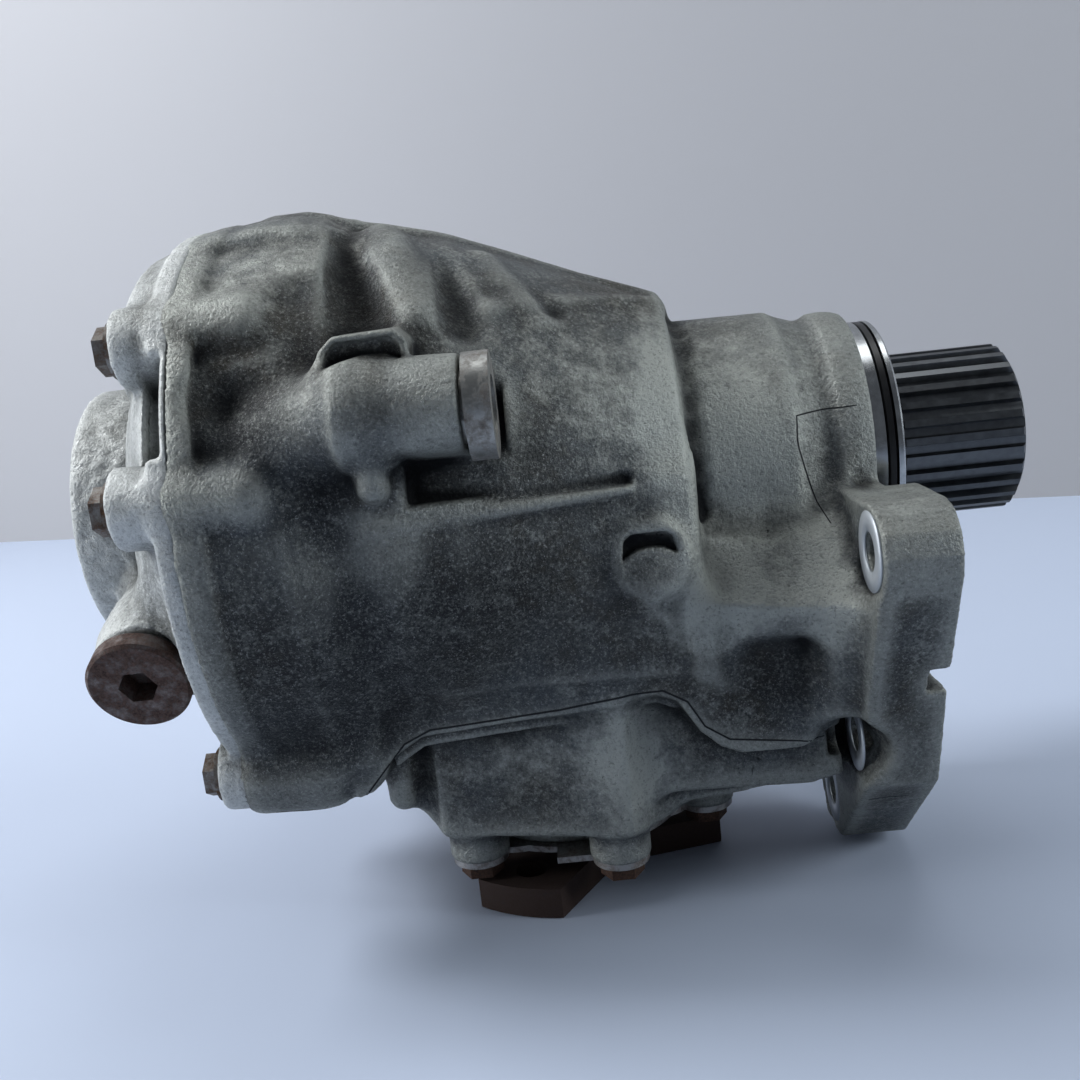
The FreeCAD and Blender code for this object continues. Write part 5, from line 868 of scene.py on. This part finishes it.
def seam(name, line, width, finish, lift=0.05):
    """Thin strip laid on the case along (x, z) points seen from the front, narrower at its ends."""
    line = [Vector((x, 0, z)) for x, z in line]
    track = []
    for a, b in zip(line, line[1:]):
        pieces = max(2, int((b - a).length / SEAM_STEP))
        for k in range(pieces + (b == line[-1])):
            spot = (a + (b - a) * k / pieces) * MM
            hit, normal, _, _ = case_skin.ray_cast(Vector((spot.x, IN_FRONT, spot.z)), Vector((0, 1, 0)))
            if hit is not None:
                track.append((hit, normal))
    vertices, faces = [], []
    for k, (hit, normal) in enumerate(track):
        ahead = track[min(k + 1, len(track) - 1)][0] - track[max(k - 1, 0)][0]
        share = SEAM_TIP + (1 - SEAM_TIP) * math.sin(math.pi * (k + 0.5) / len(track)) ** 0.3
        side = normal.cross(ahead).normalized() * (width * MM * share / 2)
        up = normal * SEAM_DEPTH * MM
        middle = hit + normal * (lift - SEAM_DEPTH) * MM
        vertices += [middle - side, middle + side, middle + side + up, middle - side + up]
    for k in range(len(track) - 1):
        for c in range(4):
            a, b = 4 * k + c, 4 * k + (c + 1) % 4
            faces.append((a, a + 4, b + 4, b))
    last = 4 * (len(track) - 1)
    faces += [(0, 1, 2, 3), (last + 3, last + 2, last + 1, last)]
    mesh = new_mesh(name, vertices, faces)
    mesh.materials.append(finish)
    piece = new_object(name, mesh)
    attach(piece, "case")


seam("insert_seam", ((96, 149.3), (86, 148.9), (78, 148.3), (77.4, 141.6), (77.7, 138.7), (79.5, 131.1), (81.3, 123.3),
                     (83.5, 118)), 0.5, seam_shade)
seam("flange_crease", ((91, 29.6), (97, 30.4), (103, 29.8)), 0.45, seam_shade)
seam("parting_seam", ((-88, 47.6), (-72, 46.6), (-61, 49.2), (-54, 57.2), (-46.5, 65.4), (-38.4, 69.0), (-17.4, 70.2),
                      (0.5, 71.4), (21.5, 74.2), (31, 74.3), (38, 70), (42.5, 61.8), (49.5, 57), (70, 54.4), (80, 52)),
     0.6, seam_shade, 0.1)

# Steel pieces: bolts, plugs, shaft, gears and bearings keep their CAD shape and get a finish that
# says how each is made: plated and rusted, turned, ground or forged.


def build_rust_group():
    """Blends a bare metal colour with brown rust in patches."""
    tree = bpy.data.node_groups.new("rust_bloom", "ShaderNodeTree")
    socket(tree, "NodeSocketColor", "Metal", "INPUT", (0.3, 0.29, 0.28, 1))
    socket(tree, "NodeSocketColor", "Rust", "INPUT", (0.10, 0.045, 0.022, 1))
    socket(tree, "NodeSocketFloat", "Amount", "INPUT", 0.5)
    socket(tree, "NodeSocketVector", "Place", "INPUT")
    for name, kind in (("Colour", "Color"), ("Roughness", "Float"), ("Metallic", "Float"), ("Height", "Float")):
        socket(tree, "NodeSocket" + kind, name, "OUTPUT")
    given = tree.nodes.new("NodeGroupInput")
    out = tree.nodes.new("NodeGroupOutput")
    place = given.outputs["Place"]
    blot = noise(tree, place, 5.0, 8.0, 0.7)
    fine = noise(tree, place, 0.8, 4.0, 0.7)
    level = weighed_sum(tree, math_node(tree, "MULTIPLY", blot, 0.75), fine, 0.25)
    edge = math_node(tree, "SUBTRACT", 0.95, given.outputs["Amount"])
    share = math_node(tree, "SUBTRACT", level, math_node(tree, "MULTIPLY", edge, 0.9))
    share = ramp(tree, share, -0.08, 0.12)
    dark = mix_colour(tree, ramp(tree, fine, 0.35, 0.65), (0.035, 0.018, 0.012, 1), given.outputs["Rust"])
    tree.links.new(mix_colour(tree, share, given.outputs["Metal"], dark), out.inputs["Colour"])
    tree.links.new(ramp(tree, share, 0.0, 1.0, 0.34, 0.85), out.inputs["Roughness"])
    tree.links.new(ramp(tree, share, 0.0, 1.0, 0.95, 0.05), out.inputs["Metallic"])
    tree.links.new(level, out.inputs["Height"])
    return tree


rust_group = build_rust_group()


def rusty(name, metal, rust, amount, bump_mm):
    """Steel of one colour with rust of another on more or less of it."""
    values = {"Metal": metal, "Rust": rust, "Amount": amount}
    material, tree, shader, group = grouped_material(name, rust_group, values)
    tree.links.new(group.outputs["Metallic"], shader.inputs["Metallic"])
    add_bump(tree, shader, group.outputs["Height"], 0.6, bump_mm)
    return material


def plain(name, colour, metallic, roughness):
    """One even finish with a faint grain."""
    material, tree, shader = new_material(name)
    shader.inputs["Metallic"].default_value = metallic
    grain = noise(tree, place_of(tree), 3.0, 5.0)
    dark = tuple(c * 0.72 for c in colour) + (1,)
    shade = mix_colour(tree, ramp(tree, grain, 0.3, 0.7), dark, colour + (1,))
    tree.links.new(shade, shader.inputs["Base Color"])
    tree.links.new(ramp(tree, grain, 0.3, 0.7, roughness * 0.85, roughness * 1.15), shader.inputs["Roughness"])
    return material


def finish_nodes(material, *names):
    """Gives CAD nodes their finish in place of the plain one."""
    for name in names:
        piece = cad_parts[name]
        piece.data.materials.clear()
        piece.data.materials.append(material)


finish_nodes(rusty("plated bolt, rust spotted", (0.30, 0.29, 0.27, 1), (0.14, 0.07, 0.035, 1), 0.42, 0.3),
             "cover_bolts")
finish_nodes(rusty("rusted bolt", (0.16, 0.13, 0.11, 1), (0.10, 0.05, 0.03, 1), 0.62, 0.3),
             "retainer_bolts", "drain_plug")
finish_nodes(rusty("rusted plug", (0.26, 0.23, 0.22, 1), (0.13, 0.075, 0.06, 1), 0.5, 0.4),
             "filler_plug")
finish_nodes(rusty("pressed cup, lightly rusted", (0.42, 0.42, 0.40, 1), (0.20, 0.17, 0.14, 1), 0.36, 0.25),
             "core_plug")
finish_nodes(rusty("forged flange, brown rust", (0.03, 0.028, 0.03, 1), (0.042, 0.024, 0.021, 1), 0.6, 0.4),
             "drive_flange")
finish_nodes(rusty("plate steel", (0.42, 0.41, 0.40, 1), (0.12, 0.07, 0.04, 1), 0.35, 0.1),
             "retainer_plate", "pinion_nut")
finish_nodes(plain("gasket", (0.42, 0.42, 0.41), 0.7, 0.5), "filler_gasket", "drain_gasket")
finish_nodes(plain("turned aluminium", (0.62, 0.64, 0.65), 1.0, 0.22), "seal_carrier")
finish_nodes(plain("black rubber", (0.012, 0.012, 0.013), 0.0, 0.35),
             "spigot_o_ring", "right_seal", "left_seal", "pinion_seal")
finish_nodes(plain("black plastic", (0.02, 0.02, 0.02), 0.0, 0.5), "breather")
finish_nodes(plain("oiled spline steel", (0.17, 0.18, 0.19), 1.0, 0.36), "output_shaft")
finish_nodes(plain("lapped gear steel", (0.30, 0.29, 0.28), 1.0, 0.3), "ring_gear", "bevel_pinion", "left_side_gear",
             "right_side_gear", "upper_spider_gear", "lower_spider_gear")
finish_nodes(plain("ground bearing steel", (0.55, 0.55, 0.56), 1.0, 0.15),
             "shaft_bearing_outer", "shaft_bearing_inner", "shaft_bearing_balls",
             *[side + kind for side in ("left_carrier", "right_carrier", "pinion_head", "pinion_tail")
               for kind in ("_cup", "_cone", "_rollers")])
finish_nodes(plain("cast iron cage", (0.10, 0.10, 0.105), 0.8, 0.55), "differential_cage")
finish_nodes(plain("spring steel", (0.12, 0.115, 0.11), 1.0, 0.4), "neck_circlip", "shaft_circlip", "crush_sleeve",
             "left_shim", "side_washers", "spider_washers", "cross_pin", "roll_pin", "joint_dowels", "ring_gear_bolts")

# Studio: pale floor and wall, dimmer for light that bounces off them than for the camera, soft light
# from above and both sides, and the camera where the photograph was taken from.
CAMERA_PLACE = (0.012, -0.3811, 0.1917)
CAMERA_YAW, CAMERA_PITCH, CAMERA_ROLL = -2.09, 12.0, -6.37
CAMERA_LENS, SENSOR_WIDTH = 38.77, 36
STAGE_BOUNCE = 0.75
FLOOR_Z, WALL_TOP = -0.0003, 3


def stage_plane(name, corners, colour):
    """Flat backdrop that sends less light on than the camera sees of it."""
    mesh = new_mesh(name, corners, [tuple(range(len(corners)))])
    material, tree, shader = new_material(name)
    seen = tree.nodes.new("ShaderNodeLightPath").outputs["Is Camera Ray"]
    dim = tuple(c * STAGE_BOUNCE for c in colour[:3]) + (1,)
    tree.links.new(mix_colour(tree, seen, dim, colour), shader.inputs["Base Color"])
    shader.inputs["Roughness"].default_value = 0.6
    mesh.materials.append(material)
    plane = new_object(name, mesh)


def area_lamp(name, place, target, size, power, colour):
    """Square lamp that looks at its target."""
    lamp = bpy.data.lights.new(name, "AREA")
    lamp.size = size
    lamp.energy = power
    lamp.color = colour
    holder = new_object(name, lamp)
    holder.location = place
    holder.rotation_euler = (Vector(target) - Vector(place)).to_track_quat("-Z", "Y").to_euler()


def camera_turn():
    """The camera's rotation from its yaw, pitch and roll."""
    yaw, pitch, roll = (math.radians(a) for a in (CAMERA_YAW, CAMERA_PITCH, CAMERA_ROLL))
    forward = Vector((math.sin(yaw) * math.cos(pitch), math.cos(yaw) * math.cos(pitch), -math.sin(pitch)))
    level = Vector((math.cos(yaw), -math.sin(yaw), 0))
    upright = level.cross(forward)
    right = level * math.cos(roll) + upright * math.sin(roll)
    up = upright * math.cos(roll) - level * math.sin(roll)
    return Matrix((right, up, -forward)).transposed().to_4x4()


CREASE = ((-3.0, 1.553), (3.0, -0.349))
stage_plane("floor", [(-3, -3, FLOOR_Z), (3, -3, FLOOR_Z), (*CREASE[1], FLOOR_Z), (*CREASE[0], FLOOR_Z)],
            (0.60, 0.68, 0.84, 1))
stage_plane("wall", [(*CREASE[0], FLOOR_Z), (*CREASE[1], FLOOR_Z), (*CREASE[1], WALL_TOP), (*CREASE[0], WALL_TOP)],
            (0.52, 0.52, 0.54, 1))
world = bpy.data.worlds.new("studio")
world.use_nodes = True
world.node_tree.nodes["Background"].inputs["Color"].default_value = (0.66, 0.72, 0.82, 1)
world.node_tree.nodes["Background"].inputs["Strength"].default_value = 0.12
bpy.context.scene.world = world
area_lamp("window", (-1.05, 0.2, 1.1), (0, 0, 0.1), 0.5, 15, (0.95, 0.97, 1.0))
area_lamp("ceiling", (0.2, 0.3, 1.5), (0, 0, 0.1), 0.8, 5, (0.95, 0.98, 1.0))
area_lamp("door", (1.4, -0.3, 0.65), (0, 0, 0.1), 0.55, 9, (0.9, 0.96, 1.0))
area_lamp("side", (-1.5, -0.2, 0.35), (-0.12, 0, 0.13), 0.35, 7.5, (0.95, 0.98, 1.0))
lens = bpy.data.cameras.new("camera")
lens.lens = CAMERA_LENS
lens.sensor_width = SENSOR_WIDTH
camera = new_object("camera", lens)
camera.matrix_world = Matrix.Translation(CAMERA_PLACE) @ camera_turn()
bpy.context.scene.camera = camera
bpy.context.scene.view_settings.view_transform = "Standard"
